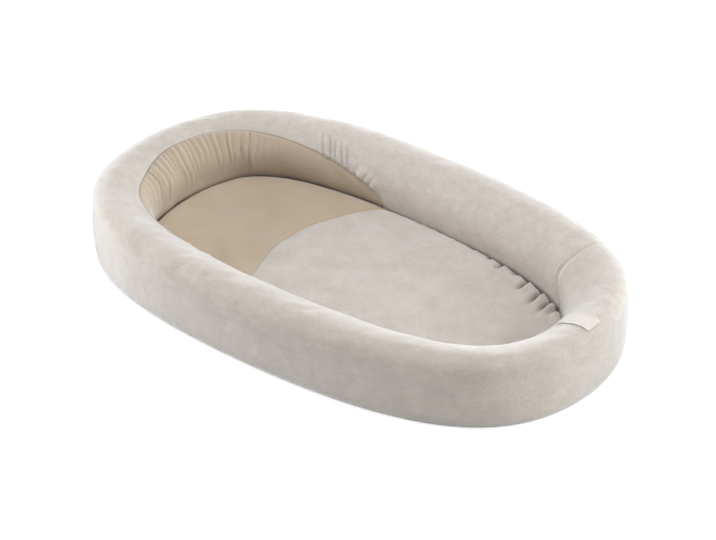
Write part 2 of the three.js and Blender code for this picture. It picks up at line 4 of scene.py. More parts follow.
import bmesh
import bpy
import numpy as np
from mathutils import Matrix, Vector
from mathutils.bvhtree import BVHTree

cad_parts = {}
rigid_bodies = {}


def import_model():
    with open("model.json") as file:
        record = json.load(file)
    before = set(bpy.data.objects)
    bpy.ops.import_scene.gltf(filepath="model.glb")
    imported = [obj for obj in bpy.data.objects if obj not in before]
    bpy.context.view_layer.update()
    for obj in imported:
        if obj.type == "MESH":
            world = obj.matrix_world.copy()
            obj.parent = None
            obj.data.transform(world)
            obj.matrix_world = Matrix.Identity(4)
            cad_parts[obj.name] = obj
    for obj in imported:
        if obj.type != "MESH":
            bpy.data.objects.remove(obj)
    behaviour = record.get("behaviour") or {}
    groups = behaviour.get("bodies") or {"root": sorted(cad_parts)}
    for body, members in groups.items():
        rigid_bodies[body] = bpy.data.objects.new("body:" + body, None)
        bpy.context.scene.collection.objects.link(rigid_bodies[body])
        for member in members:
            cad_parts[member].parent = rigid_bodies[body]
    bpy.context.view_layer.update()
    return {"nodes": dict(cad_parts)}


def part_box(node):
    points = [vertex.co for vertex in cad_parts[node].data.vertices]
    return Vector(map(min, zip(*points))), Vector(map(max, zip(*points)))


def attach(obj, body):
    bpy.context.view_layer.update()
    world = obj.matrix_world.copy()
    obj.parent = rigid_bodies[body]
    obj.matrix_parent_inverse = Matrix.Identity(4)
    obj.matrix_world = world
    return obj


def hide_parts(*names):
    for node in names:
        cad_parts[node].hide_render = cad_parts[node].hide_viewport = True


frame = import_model()

BODY = "lounger"

# Overall plan of the bolster's outer edge
LENGTH = 0.850
MIDDLE_WIDTH = 0.511
CORNER_SHARE = 0.028
FLAT_END_SHARE = -0.006
EGG_SHARE = 0.047
END_FULLNESS_SHARE = 0.038

# Section of the bolster: sizes at the side, the head and the foot, or at the head and the foot
BOLSTER_WIDTHS = (0.0955, 0.088, 0.084)
FOOTPRINTS = (0.095, 0.0995, 0.0935)
RIM_HEIGHTS = (0.1075, 0.1034)
WALL_STRAIGHTS = (0.015, 0.0109)
SHOULDER_RADIUS = 0.0170
SHOULDER_SLOPE = math.radians(32)
RIM_TOP_POWER = 1.5
OUTER_SHARES = (0.0, 0.42, 0.70, 1.0)
WALL_LEAN = 0.0006
CREST_SHARE = 0.25
WALL_BULGE = 0.0020
HEM_RADIUS = 0.007
HEM_TURN = 0.0022

# Lying surface
FLOOR_EDGE = 0.0295
FLOOR_CROWN = 0.005
CROWN_POWER = 4
FLOOR_ROLL = 0.012
ROLL_DEPTH_SIDE = 0.0030
ROLL_DEPTHS = (0.0055, 0.0035)
GROOVE_DEPTH = 0.009
GROOVE_RECEDES = (0.0006, 0.0036, 0.0026)
# where the wall's foot changes, from and to, as shares of the half length
UNDERCUT_GROWS = (0.0, 0.75)
UNDERCUT_EASES = (0.9, 1.0)
ROLL_GROWS = (0.2, 0.6)
INNER_SWELL = 0.006
# angles between which the swell fades out towards the near side
SWELL_FADES = (182, 206)
SWELL_FROM_HEAD = 40.0
SWELL_REACH = 27.0
UNDERCUT_SIDE = 0.002
UNDERCUTS = (0.0125, 0.0030)
UNDERCUT_EASE = 0.0045
FOOT_DROP_SIDE = 0.002
FOOT_DROPS = (0.0065, 0.0060)
FLOOR_SEAM_APEX = -0.124
FLOOR_SEAM_RADIUS = 0.250

# Cloth and clearances
CLOTH = 0.002
LINER = 0.0012
CLEARANCE = 0.0003
BASE_CLOTH = 0.002
COVER_SEAT = 0.0006
BASE_LIFT = 0.0022
BASE_STEP_RUN = 0.008
LINER_INSET = 0.0075
FILL_INSET = 0.0095
INNER_SEAT = 0.0060

# Seams
JOIN_ANGLE = 46.5
JOIN_ANGLE_AT_FLOOR = 40.0
JOIN_TURN_RISE = 0.045
JOIN_RADIUS = 0.33
CRESCENT_TIP = 99.7
CRESCENT_RISE = 0.082
CRESCENT_TIP_RISE = 0.003
CRESCENT_POWER = 0.45
CRESCENT_DIP = 0.14
CRESCENT_DIP_GROWS = (180, 204)
SIDE_ROW_RISE = 0.045
SIDE_ROW_RUN = 18.0


def near(value, middle, width):
    """A bell of height 1 round a middle."""
    return np.exp(-(((value - middle) / width) ** 2))


def smooth(value, low, high):
    """0 below low, 1 above high and a soft step between."""
    share = np.clip((value - low) / (high - low), 0, 1)
    return share * share * (3 - 2 * share)


def mix(a, b, share):
    return a + (b - a) * share


def unit(vectors):
    return vectors / np.linalg.norm(vectors, axis=-1)[..., None]


def run_along(line):
    """Length run along a line of points, from its first one."""
    return np.concatenate([[0], np.cumsum(np.linalg.norm(np.diff(line, axis=0), axis=1))])


def pairs(a, b):
    """A grid of the pairs that a column and a row of values make."""
    return np.stack(np.broadcast_arrays(a, b), -1)


def steps(count):
    """A row of shares from 0 to 1, in equal steps."""
    return np.linspace(0, 1, count + 1)[None, :]


def at_height(flat, z):
    """Points of the plane lifted to a height, or each to its own."""
    return np.concatenate([flat, np.broadcast_to(z, flat.shape[:-1])[..., None]], -1)


def raised(grid, normal, height):
    return grid + normal * height[..., None]


def ripple(points, wavelength, seed, count=26):
    """Smooth seeded noise of about unit height and of one wavelength."""
    rng = np.random.default_rng(seed)
    way = unit(rng.normal(size=(count, 3)))
    way *= (2 * math.pi / wavelength) * rng.uniform(0.7, 1.4, count)[:, None]
    phase = rng.uniform(0, 2 * math.pi, count)
    return np.sin(points @ way.T + phase).sum(-1) * math.sqrt(2 / count)


# The oval edge


def edge_point(angle):
    """Point of the outer edge, and its place along the length from -1 to 1."""
    scale = 1 - CORNER_SHARE + FLAT_END_SHARE
    along = np.cos(angle) - CORNER_SHARE * np.cos(3 * angle) + FLAT_END_SHARE * np.cos(5 * angle)
    across = np.sin(angle) + CORNER_SHARE * np.sin(3 * angle) + FLAT_END_SHARE * np.sin(5 * angle)
    c = along / scale
    spread = (1 - EGG_SHARE * c) * (1 + END_FULLNESS_SHARE * c * c)
    y = MIDDLE_WIDTH / 2 * spread * across / scale
    return np.stack([LENGTH / 2 * c, y], -1), c


def along_body(c, sizes):
    side, head, foot = sizes
    return side + np.where(c < 0, head - side, foot - side) * c * c


class Ring:
    """Stations round the edge, one for each angle in degrees, with the sizes of the section there."""

    def __init__(self, degrees):
        self.degrees = np.asarray(degrees, float)
        angle = np.radians(self.degrees)
        self.edge, self.c = edge_point(angle)
        step = 1e-4
        run = unit(edge_point(angle + step)[0] - edge_point(angle - step)[0])
        self.normal = np.stack([-run[:, 1], run[:, 0]], -1)
        self.width = along_body(self.c, BOLSTER_WIDTHS)[:, None]
        self.footprint = along_body(self.c, FOOTPRINTS)[:, None]
        away = np.abs(self.c)[:, None]
        to_end = smooth(away, *UNDERCUT_GROWS)
        at_head = self.c[:, None] < 0
        self.undercut = UNDERCUT_SIDE + np.where(at_head, *UNDERCUTS) * to_end
        eased = np.where(at_head, UNDERCUT_EASE, 0) * smooth(away, *UNDERCUT_EASES)
        self.undercut = self.undercut - eased
        self.drop = FOOT_DROP_SIDE + np.where(at_head, *FOOT_DROPS) * to_end
        self.roll = ROLL_DEPTH_SIDE + np.where(at_head, *ROLL_DEPTHS) * smooth(away, *ROLL_GROWS)
        self.foot = self.footprint - self.undercut
        self.recede = along_body(self.c, GROOVE_RECEDES)[:, None]
        share = (1 + self.c)[:, None] / 2
        self.top = mix(*RIM_HEIGHTS, share)
        self.straight = mix(*WALL_STRAIGHTS, share)
        self.crest = self.width * CREST_SHARE
        self.round = self.top - FLOOR_EDGE - self.straight
        self.bend = (self.width - self.crest + self.round) / 2
        self.crest_rise = self.straight + self.bend * math.pi / 2
        from_head = np.abs(self.degrees % 360 - 180)[:, None]
        far_side = 1 - smooth(self.degrees % 360, *SWELL_FADES)[:, None]
        self.swell = INNER_SWELL * far_side * near(from_head, SWELL_FROM_HEAD, SWELL_REACH)
        self.seam = seam_rise(self.degrees)[:, None]

    def place(self, u, z):
        """Points at a distance u inwards from the edge and a height z."""
        u, z = np.broadcast_arrays(np.atleast_2d(u), np.atleast_2d(z))
        u, z = [np.broadcast_to(v, (len(self.c), v.shape[1])) for v in (u, z)]
        return at_height(self.edge[:, None, :] + self.normal[:, None, :] * u[..., None], z)

    def line(self, u):
        """The line at a distance inwards from the edge, in the plane."""
        return self.place(u, 0.0)[:, 0, :2]


def seam_rise(degrees):
    """Height of the head panel's seam, along the inner wall, and of the row that goes on from it."""
    from_head = np.abs((degrees % 360) - 180)
    reach = 180 - CRESCENT_TIP
    away = np.clip((from_head - reach) / SIDE_ROW_RUN, 0, 1)
    side = mix(CRESCENT_TIP_RISE, SIDE_ROW_RISE, away)
    tip = edge_point(np.radians(CRESCENT_TIP))[0][0]
    share = (tip - edge_point(np.radians(degrees))[0][..., 0]) / (tip + LENGTH / 2)
    high = CRESCENT_RISE * (1 - CRESCENT_DIP * smooth(degrees % 360, *CRESCENT_DIP_GROWS))
    head = np.maximum(CRESCENT_TIP_RISE, high * np.clip(share, 0, 1) ** CRESCENT_POWER)
    return np.where(from_head > reach, side, head)


def spread_angles(stops, spacings):
    """Angles from the first stop to the last, at one spacing along the edge between each two stops."""
    found = []
    for first, last, spacing in zip(stops, stops[1:], spacings):
        fine = np.radians(np.linspace(first, last, 200))
        run = run_along(edge_point(fine)[0])
        count = max(1, round(run[-1] / spacing))
        found.extend(np.interp(np.arange(count) / count * run[-1], run, np.degrees(fine)))
    return np.array(found)


# Section


def rim_top(at):
    """Width and drop of the rim's top, from the crest out to the rounded shoulder."""
    out = at.crest - WALL_LEAN - SHOULDER_RADIUS * (1 - math.sin(SHOULDER_SLOPE))
    return out, out * math.tan(SHOULDER_SLOPE) / RIM_TOP_POWER


def outer_wall(at, share, inset=0.0, seat=COVER_SEAT):
    """The outer wall, shoulder and rim top, from the base at share 0 to the crest at share 1."""
    out, drop = rim_top(at)
    straight = at.top - drop - SHOULDER_RADIUS * math.cos(SHOULDER_SLOPE) - seat
    up, bend, over = [
        np.clip((share - first) / (last - first), 0, 1)
        for first, last in zip(OUTER_SHARES, OUTER_SHARES[1:])
    ]
    turn = bend * (math.pi / 2 - SHOULDER_SLOPE)
    u = WALL_LEAN * up + SHOULDER_RADIUS * (1 - np.cos(turn)) + out * over
    z = seat + straight * up + SHOULDER_RADIUS * np.sin(turn) + drop * (1 - (1 - over) ** RIM_TOP_POWER)
    flat = math.pi / 2 - SHOULDER_SLOPE * (1 - over) ** (RIM_TOP_POWER - 1)
    lean = np.where(over > 0, flat, turn)
    u = u + inset * np.cos(lean) - WALL_BULGE * np.sin(math.pi * np.clip(up, 0, 1)) ** 2
    way = straight * up
    u = u + HEM_TURN * np.where(up < 1, np.clip(1 - way / HEM_RADIUS, 0, 1), 0) ** 2
    return u, z - inset * np.sin(lean)


def inner_wall(at, rise, inset=0.0):
    """The inner round and wall, at a height measured along them from the mattress edge."""
    share = np.clip(rise / at.straight, 0, 1)
    low = mix(at.foot, at.width, 1 - (1 - share) ** 2)
    turn = np.clip(math.pi / 2 - (rise - at.straight) / at.bend, 0, math.pi / 2)
    over = at.crest + (at.width - at.crest - inset) * np.sin(turn)
    u = np.where(rise < at.straight, low - inset, over)
    u = u + at.swell * np.sin(math.pi * np.clip(rise / at.crest_rise, 0, 1))
    round_z = at.top - at.round + (at.round - inset) * np.cos(turn)
    low_z = mix(FLOOR_EDGE - at.drop, FLOOR_EDGE + at.straight, share)
    return u, np.where(rise < at.straight, low_z, round_z)


def groove_wall(at, share):
    """The wall's foot, which turns away from the mattress into the groove."""
    return at.foot - at.recede * np.sqrt(share), FLOOR_EDGE - at.drop - GROOVE_DEPTH * share


def grid_normals(grid, wrap):
    """Unit normals of a grid of points, facing away from the bolster's core."""
    if wrap:
        along = np.roll(grid, -1, 0) - np.roll(grid, 1, 0)
    else:
        along = np.gradient(grid, axis=0)
    across = np.gradient(grid, axis=1)
    normal = np.cross(along, across)
    return normal / np.maximum(np.linalg.norm(normal, axis=-1), 1e-12)[..., None]


# Meshes


def build(name, points, faces, material, uv=None):
    """A piece that rides on the lounger. uv holds its cloth's own coordinates."""
    mesh = bpy.data.meshes.new(name)
    mesh.from_pydata(np.reshape(points, (-1, 3)).tolist(), [], [list(map(int, f)) for f in faces])
    if uv is not None:
        layer = mesh.uv_layers.new(name="cloth")
        index = np.empty(len(mesh.loops), np.int32)
        mesh.loops.foreach_get("vertex_index", index)
        layer.data.foreach_set("uv", np.reshape(uv, (-1, 2)).astype(np.float32)[index].ravel())
    mesh.validate()
    mesh.materials.append(material)
    mesh.shade_smooth()
    piece = bpy.data.objects.new(name, mesh)
    bpy.context.scene.collection.objects.link(piece)
    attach(piece, BODY)
    return piece


def quads(columns, rows, wrap=False, loop=False, keep=None):
    """Faces of a grid, closed over its columns or its rows if asked. keep says which cells are there."""
    faces = []
    for i in range(columns if wrap else columns - 1):
        after = (i + 1) % columns
        for j in range(rows if loop else rows - 1):
            above = (j + 1) % rows
            if keep is None or keep(i, j):
                faces.append((i * rows + j, after * rows + j, after * rows + above, i * rows + above))
    return faces


def capped(rings, sides):
    """Faces of a closed body made of rings of points, with a cap at both ends."""
    last = (rings - 1) * sides
    ends = [tuple(range(sides)), tuple(range(last + sides - 1, last - 1, -1))]
    return quads(rings, sides, loop=True) + ends


def drop_loose(points, faces, *lists):
    used = np.unique(np.concatenate([np.asarray(f) for f in faces]))
    new = np.full(len(points), -1)
    new[used] = np.arange(len(used))
    return points[used], [[new[i] for i in f] for f in faces], *[values[used] for values in lists]


def thicken(piece, thickness, facing=0):
    """Gives an open skin its thickness, on its inner side. facing is 1 if it looks up, -1 if down."""
    faces = piece.data.polygons
    if facing * faces[len(faces) // 2].normal.z < 0:
        piece.data.flip_normals()
    solid = piece.modifiers.new("thickness", "SOLIDIFY")
    solid.thickness = thickness
    solid.offset = -1
    solid.use_even_offset = False
    apply_modifiers(piece)


def apply_modifiers(piece):
    graph = bpy.context.evaluated_depsgraph_get()
    mesh = bpy.data.meshes.new_from_object(piece.evaluated_get(graph), depsgraph=graph)
    old = piece.data
    piece.modifiers.clear()
    piece.data = mesh
    bpy.data.meshes.remove(old)
    mesh.name = piece.name


def read(vertices, name):
    found = np.empty(len(vertices) * 3, np.float32)
    vertices.foreach_get(name, found)
    return found.reshape(-1, 3)


SETTLE_FRAMES = 16
SETTLE_REACH = 0.004
SETTLE_SINK = 0.0008
CLOTH_SETTINGS = {
    "quality": 5,
    "mass": 0.2,
    "tension_stiffness": 20,
    "compression_stiffness": 20,
    "shear_stiffness": 4,
    "bending_stiffness": 0.3,
    "vertex_group_mass": "held",
    "use_pressure": True,
}


def settle(piece, cut, held, pressure):
    """Lets cloth that was cut to one shape settle over its padding, and keeps where it comes to rest."""
    scene = bpy.context.scene
    mesh = piece.data
    start = read(mesh.vertices, "co")
    normal = read(mesh.vertices, "normal")
    piece.vertex_groups.new(name="held").add([int(i) for i in np.flatnonzero(held)], 1.0, "REPLACE")
    piece.shape_key_add(name="sewn")
    shape = piece.shape_key_add(name="cut")
    shape.data.foreach_set("co", np.asarray(cut, np.float32).ravel())
    cloth = piece.modifiers.new("cloth", "CLOTH")
    for key, value in CLOTH_SETTINGS.items():
        setattr(cloth.settings, key, value)
    cloth.settings.rest_shape_key = shape
    cloth.settings.uniform_pressure_force = pressure
    cloth.settings.effector_weights.gravity = 0
    cloth.point_cache.frame_end = SETTLE_FRAMES
    for step in range(1, SETTLE_FRAMES + 1):
        scene.frame_set(step)
    settled = piece.evaluated_get(bpy.context.evaluated_depsgraph_get()).to_mesh()
    move = read(settled.vertices, "co") - start
    scene.frame_set(1)
    piece.modifiers.clear()
    piece.shape_key_clear()
    piece.vertex_groups.clear()
    length = np.linalg.norm(move, axis=1)[:, None]
    move *= np.minimum(1, SETTLE_REACH / np.maximum(length, 1e-9))
    inward = np.minimum((move * normal).sum(1) + SETTLE_SINK, 0)
    move -= normal * inward[:, None]
    mesh.vertices.foreach_set("co", (start + move).ravel())
    mesh.update()


def tube(path, radius, sides, across):
    """A closed round thread along a path. across is a direction that the path never takes."""
    path = np.asarray(path)
    along = unit(np.gradient(path, axis=0))
    first = unit(np.cross(along, np.asarray(across, float)))
    second = np.cross(along, first)
    turn = np.linspace(0, 2 * math.pi, sides, endpoint=False)
    radius = np.broadcast_to(np.asarray(radius, float), len(path))[:, None, None]
    ring = first[:, None] * np.cos(turn)[:, None] + second[:, None] * np.sin(turn)[:, None]
    points = (path[:, None] + ring * radius).reshape(-1, 3)
    return points, capped(len(path), sides)


def outward(mesh):
    """Turns all faces of closed bodies outwards."""
    bm = bmesh.new()
    bm.from_mesh(mesh)
    bmesh.ops.remove_doubles(bm, verts=bm.verts, dist=1e-6)
    bmesh.ops.recalc_face_normals(bm, faces=bm.faces)
    bm.to_mesh(mesh)
    bm.free()


STITCH_PROFILE = np.array([0.25, 0.8, 1.0, 0.8, 0.25])
STITCH_DIP = 0.55
STITCH_SIDES = 6


def stitches(name, rows, length, gap, radius):
    """Rows of single stitches, each a short thread that dips into the cloth at both ends."""
    points, faces = [], []
    for start, stop, out in rows:
        start, stop, out = (np.asarray(v, float) for v in (start, stop, out))
        way = stop - start
        total = np.linalg.norm(way)
        way /= total
        for k in range(int(total / (length + gap))):
            places = k * (length + gap) + np.linspace(0, length, len(STITCH_PROFILE))
            rise = (STITCH_PROFILE - STITCH_DIP) * radius
            path = start + way * places[:, None] + out * rise[:, None]
            body, cells = tube(path, STITCH_PROFILE * radius, STITCH_SIDES, out)
            faces += [tuple(len(points) + i for i in cell) for cell in cells]
            points += body.tolist()
    piece = build(name, points, faces, thread_cotton)
    outward(piece.data)
    return piece


# Materials


def node(tree, kind, *inputs, output=0, sockets={}, **settings):
    """A new node's output. Numbers, colours and other outputs go into its sockets, in order or by name."""
    made = tree.nodes.new(kind)
    for key, value in settings.items():
        setattr(made, key, value)
    for key, value in [*enumerate(inputs), *sockets.items()]:
        socket = made.inputs[key]
        if isinstance(value, bpy.types.NodeSocket):
            tree.links.new(value, socket)
        elif value is not None:
            socket.default_value = (*value, 1) if socket.type == "RGBA" else value
    return made.outputs[output] if made.outputs else None


class Surface:
    """A material with one shader, whose own settings are given by name."""

    def __init__(self, name, **settings):
        self.material = bpy.data.materials.new(name)
        self.material.use_nodes = True
        self.tree = self.material.node_tree
        self.shader = self.tree.nodes["Principled BSDF"]
        self.place = self.add("ShaderNodeTexCoord", output="Object")
        for key, value in settings.items():
            self.shader.inputs[key.replace("_", " ")].default_value = value

    def add(self, kind, *inputs, **values):
        return node(self.tree, kind, *inputs, **values)

    def noise(self, scale, detail=3.0, roughness=0.5, distortion=0.0, place=None):
        sockets = {"Vector": place or self.place, "Scale": scale, "Detail": detail}
        sockets.update({"Roughness": roughness, "Distortion": distortion})
        return self.add("ShaderNodeTexNoise", output="Fac", sockets=sockets)

    def stretch(self, scale, place=None):
        return self.add("ShaderNodeMapping", sockets={"Vector": place or self.place, "Scale": scale})

    def ramp(self, source, *stops):
        """A soft step between two colours. A stop is a place and a colour, or a number for a grey."""
        made = self.add("ShaderNodeValToRGB", source)
        for element, (place, colour) in zip(made.node.color_ramp.elements, stops):
            element.position = place
            element.color = (*np.broadcast_to(colour, 3), 1)
        return made

    def shades(self, source, colour, dark, light):
        return self.ramp(source, (0.3, tint(colour, dark)), (0.7, tint(colour, light)))

    def blend(self, a, b, amount=1.0, how="MULTIPLY"):
        sockets = {0: amount, 6: a, 7: b}
        return self.add("ShaderNodeMix", output=2, sockets=sockets, data_type="RGBA", blend_type=how)

    def times(self, colour, *others):
        for other in others:
            colour = self.blend(colour, other)
        return colour

    def bumps(self, *layers):
        """Bumps over one another, each with a height, a strength and a distance."""
        normal = None
        for height, strength, distance in layers:
            sockets = {"Height": height, "Strength": strength, "Distance": distance, "Normal": normal}
            normal = self.add("ShaderNodeBump", sockets=sockets)
        return normal

    def finish(self, colour, normal, roughness):
        for name, value in (("Base Color", colour), ("Normal", normal), ("Roughness", roughness)):
            self.tree.links.new(value, self.shader.inputs[name])
        return self.material


# colour multiplied into the velour in its creases: painted shade
PAINTED_CREASE_SHADE = (0.36, 0.30, 0.25)


def tint(colour, factor):
    return tuple(min(1.0, channel * factor) for channel in colour)


def velour(name, colour):
    """Short pile: cloudy at a few centimetres as the pile lies and grainy close up, with painted shade in the
    creases.
    """
    sheen = {"Sheen_Weight": 1.0, "Sheen_Roughness": 0.45, "Sheen_Tint": (0.95, 0.975, 1.0, 1)}
    n = Surface(name, Specular_IOR_Level=0.1, **sheen)
    clouds = n.noise(26, detail=4, roughness=0.6, distortion=0.6)
    strokes = n.noise(1.0, detail=3, roughness=0.65, distortion=0.4, place=n.stretch((70, 70, 130)))
    tufts = n.noise(260, detail=3, roughness=0.6)
    pile = n.noise(1500, detail=2, roughness=0.7)
    cloudy = n.shades(clouds, colour, 0.93, 1.05)
    brushed = n.ramp(strokes, (0.32, (0.90, 0.895, 0.885)), (0.68, 1.0))
    tufted = n.ramp(tufts, (0.25, (0.92, 0.915, 0.91)), (0.75, 1.0))
    grain = n.ramp(pile, (0.3, (0.9, 0.895, 0.89)), (0.7, 1.0))
    # painted shade: the colour is multiplied towards the crease shade colour where the crease attribute is
    # set
    crease = n.add("ShaderNodeAttribute", output="Fac", attribute_name="crease")
    colour_out = n.blend(n.times(cloudy, brushed, tufted, grain), PAINTED_CREASE_SHADE, crease)
    normal = n.bumps(
        (clouds, 0.25, 0.004), (strokes, 0.3, 0.0016), (tufts, 0.4, 0.0009), (pile, 0.5, 0.0005)
    )
    return n.finish(colour_out, normal, n.ramp(tufts, (0.2, 0.84), (0.8, 0.98)))


def woven(name, colour, pitch, shine=0.12, contrast=0.08):
    """Plain weave from two sets of threads along the cloth's own coordinates."""
    n = Surface(name, Sheen_Weight=shine, Sheen_Roughness=0.4, Specular_IOR_Level=0.25)
    cloth = n.add("ShaderNodeUVMap", output="UV", uv_map="cloth")
    sockets = {"Vector": cloth, "Scale": math.pi / (10 * pitch)}
    sockets.update({"Distortion": 0.6, "Detail": 2, "Detail Scale": 1.5})
    threads = [
        n.add("ShaderNodeTexWave", output="Fac", sockets=sockets, bands_direction=way) for way in ("X", "Y")
    ]
    weave = n.add("ShaderNodeMath", *threads, operation="MAXIMUM")
    slub = n.noise(1.0, detail=3, place=n.stretch((25, 420, 1), cloth))
    base = n.shades(n.noise(9, detail=3, roughness=0.6), colour, 0.95, 1.04)
    lines = n.ramp(slub, (0.3, (0.95, 0.945, 0.94)), (0.7, 1.0))
    gaps = n.ramp(weave, (0.35, 1 - contrast), (0.75, 1.0))
    normal = n.bumps((slub, 0.25, 0.0005), (weave, 0.6, 0.0002))
    return n.finish(n.times(base, lines, gaps), normal, n.ramp(slub, (0.2, 0.78), (0.8, 0.92)))


def foam(name, colour):
    n = Surface(name, Specular_IOR_Level=0.2)
    sockets = {"Vector": n.place, "Scale": 900}
    cells = n.add("ShaderNodeTexVoronoi", output="Distance", sockets=sockets, feature="DISTANCE_TO_EDGE")
    pores = n.ramp(cells, (0.02, 1.0), (0.3, (0.8, 0.79, 0.76)))
    aged = n.shades(n.noise(12, detail=4), colour, 0.94, 1.02)
    rough = n.ramp(n.noise(300), (0.2, 0.9), (0.8, 1.0))
    return n.finish(n.times(aged, pores), n.bumps((cells, 0.6, 0.0006)), rough)


def plastic(name, colour):
    n = Surface(name, Specular_IOR_Level=0.45)
    cloudy = n.shades(n.noise(160, detail=3), colour, 0.94, 1.04)
    rough = n.ramp(n.noise(900), (0.2, 0.38), (0.8, 0.55))
    return n.finish(cloudy, n.bumps((n.noise(2600), 0.2, 0.0001)), rough)


def satin_metal(name, colour):
    """Brushed plating with rubbed edges."""
    n = Surface(name, Metallic=1.0)
    brushed = n.noise(1.0, detail=3, place=n.stretch((500, 9000, 9000)))
    edges = n.ramp(n.add("ShaderNodeNewGeometry", output="Pointiness"), (0.48, 0.0), (0.56, 1.0))
    rubbed = n.add("ShaderNodeMath", edges, 0.5, operation="MULTIPLY")
    colour_out = n.blend(n.shades(brushed, colour, 0.9, 1.05), tint(colour, 1.18), rubbed, "MIX")
    rough = n.ramp(brushed, (0.25, 0.24), (0.75, 0.38))
    return n.finish(colour_out, n.bumps((brushed, 0.15, 0.00005)), rough)


VELOUR = (0.635, 0.588, 0.538)
COTTON = (0.505, 0.406, 0.290)
# the head wall's copy of the cotton is lighter and less yellow than the floor's: a painted highlight for the
# sheen on the upright wall
COTTON_WALL_PAINTED_HIGHLIGHT = (0.515, 0.422, 0.325)
BASE = (0.50, 0.455, 0.41)
CREAM = (0.75, 0.72, 0.665)

velour_cloth = velour("velour_cloth", VELOUR)
cotton_cloth = woven("cotton_cloth", COTTON, pitch=0.0008, shine=1.0)
gathered_cloth = woven("gathered_cloth", COTTON_WALL_PAINTED_HIGHLIGHT, pitch=0.0008, shine=1.0)
base_cloth = woven("base_cloth", BASE, pitch=0.0012, contrast=0.12)
lining_cloth = woven("lining_cloth", (0.84, 0.82, 0.78), pitch=0.0006)
satin_cloth = woven("satin_cloth", CREAM, pitch=0.0004, shine=0.35, contrast=0.05)
tape_cloth = woven("tape_cloth", (0.50, 0.45, 0.39), pitch=0.0009, contrast=0.18)
core_foam = foam("core_foam", (0.80, 0.77, 0.68))
coil_nylon = plastic("coil_nylon", (0.58, 0.53, 0.47))
thread_cotton = plastic("thread_cotton", (0.62, 0.56, 0.47))
zip_nickel = satin_metal("zip_nickel", (0.62, 0.60, 0.57))


# Bolster cover

OUTER_ROWS = 28
ROUND_ROWS = 28
SIDE_ROWS = 14
GROOVE_ROWS = 4
SEAM_ROW = OUTER_ROWS + ROUND_ROWS
GATHER_FIRST, GATHER_LAST = 102.5, 118.5
GATHER_PITCH = 0.0125
GATHER_HEIGHT = 0.0058
GATHER_REACH = 0.040
# angles between which the gathers grow to their full reach and turn from one slant to the other
GATHER_TURN = (105.5, 109.5)
GATHER_SHORT = 0.6
GATHER_FULL = 0.45
GATHER_SLANTS = (-0.25, 0.54)
NEAR_SIDE_LIMIT = (0.040, 0.058)
JOIN_VALLEYS = (0.0008, 0.0020)
JOIN_WIDTH, JOIN_HOLLOW_WIDTH = 0.0032, 0.012
# heights along the inner wall where the seam's deep part ends, and where its gathers start and end
JOIN_DEEP_ENDS = (0.075, 0.105)
JOIN_GATHERS_START, JOIN_GATHERS_END = (0.012, 0.024), (0.050, 0.072)
JOIN_SWELL = 0.0016
JOIN_SWELL_PLACE = (-0.011, 0.008)
JOIN_GATHER_HEIGHT = 0.0010
JOIN_GATHERS = (
    # distance from the seam, width, share of the height
    (0.0075, 0.0022, 1.0),
    (0.0155, 0.0024, 0.8),
    (0.0235, 0.0026, 0.5),
)
# spare cloth in the gathers and folds, as a share of their height, and the strip held at the join
GATHER_SPARE, FOLD_SPARE = 0.7, 0.6
HELD_AT_JOIN = 0.25
# angles between which the stations stand at one spacing, closer where the cloth is gathered or seamed
COVER_STOPS = (CRESCENT_TIP, 124, 236, 360 - CRESCENT_TIP, 274, 392, 410, 448, 360 + CRESCENT_TIP)
COVER_SPACINGS = (0.0016, 0.0046, 0.0016, 0.0036, 0.0048, 0.0020, 0.0048, 0.0036)


def from_angle(degrees, middle):
    """Signed difference of angles, from -180 to 180."""
    return (degrees - middle + 180) % 360 - 180


def cover_grid(at):
    """Rows over the rim, and for each point its height along the inner wall."""
    down_round, down_side = steps(ROUND_ROWS)[:, :-1], steps(SIDE_ROWS)
    groove = steps(GROOVE_ROWS)[:, 1:]
    rises = np.concatenate([mix(at.crest_rise, at.seam, down_round), mix(at.seam, 0.0, down_side)], 1)
    parts = [outer_wall(at, steps(OUTER_ROWS)[:, :-1]), inner_wall(at, rises), groove_wall(at, groove)]
    grid = np.concatenate([at.place(u, z) for u, z in parts], 1)
    above = np.full((len(at.c), OUTER_ROWS), 1.0)
    below = np.repeat(-groove * GROOVE_DEPTH, len(at.c), 0)
    return grid, np.concatenate([above, rises, below], 1)


def join_seam_height(at, rise):
    """The valley of the seam across the bolster, with small gathers beside its inner end."""
    middle = mix(JOIN_ANGLE_AT_FLOOR, JOIN_ANGLE, smooth(rise, 0.0, JOIN_TURN_RISE))
    way = np.radians(from_angle(at.degrees[:, None], middle)) * JOIN_RADIUS
    inside = 1 - smooth(rise, *JOIN_DEEP_ENDS)
    valley = -mix(*JOIN_VALLEYS, inside) * near(way, 0, JOIN_WIDTH)
    valley = valley - JOIN_SWELL * inside * near(way, 0, JOIN_HOLLOW_WIDTH)
    swell = JOIN_SWELL * inside * near(way, *JOIN_SWELL_PLACE)
    gathers = sum(share * near(way, middle, width) for middle, width, share in JOIN_GATHERS)
    reach = smooth(rise, *JOIN_GATHERS_START) * (1 - smooth(rise, *JOIN_GATHERS_END))
    return valley + swell + JOIN_GATHER_HEIGHT * gathers * reach


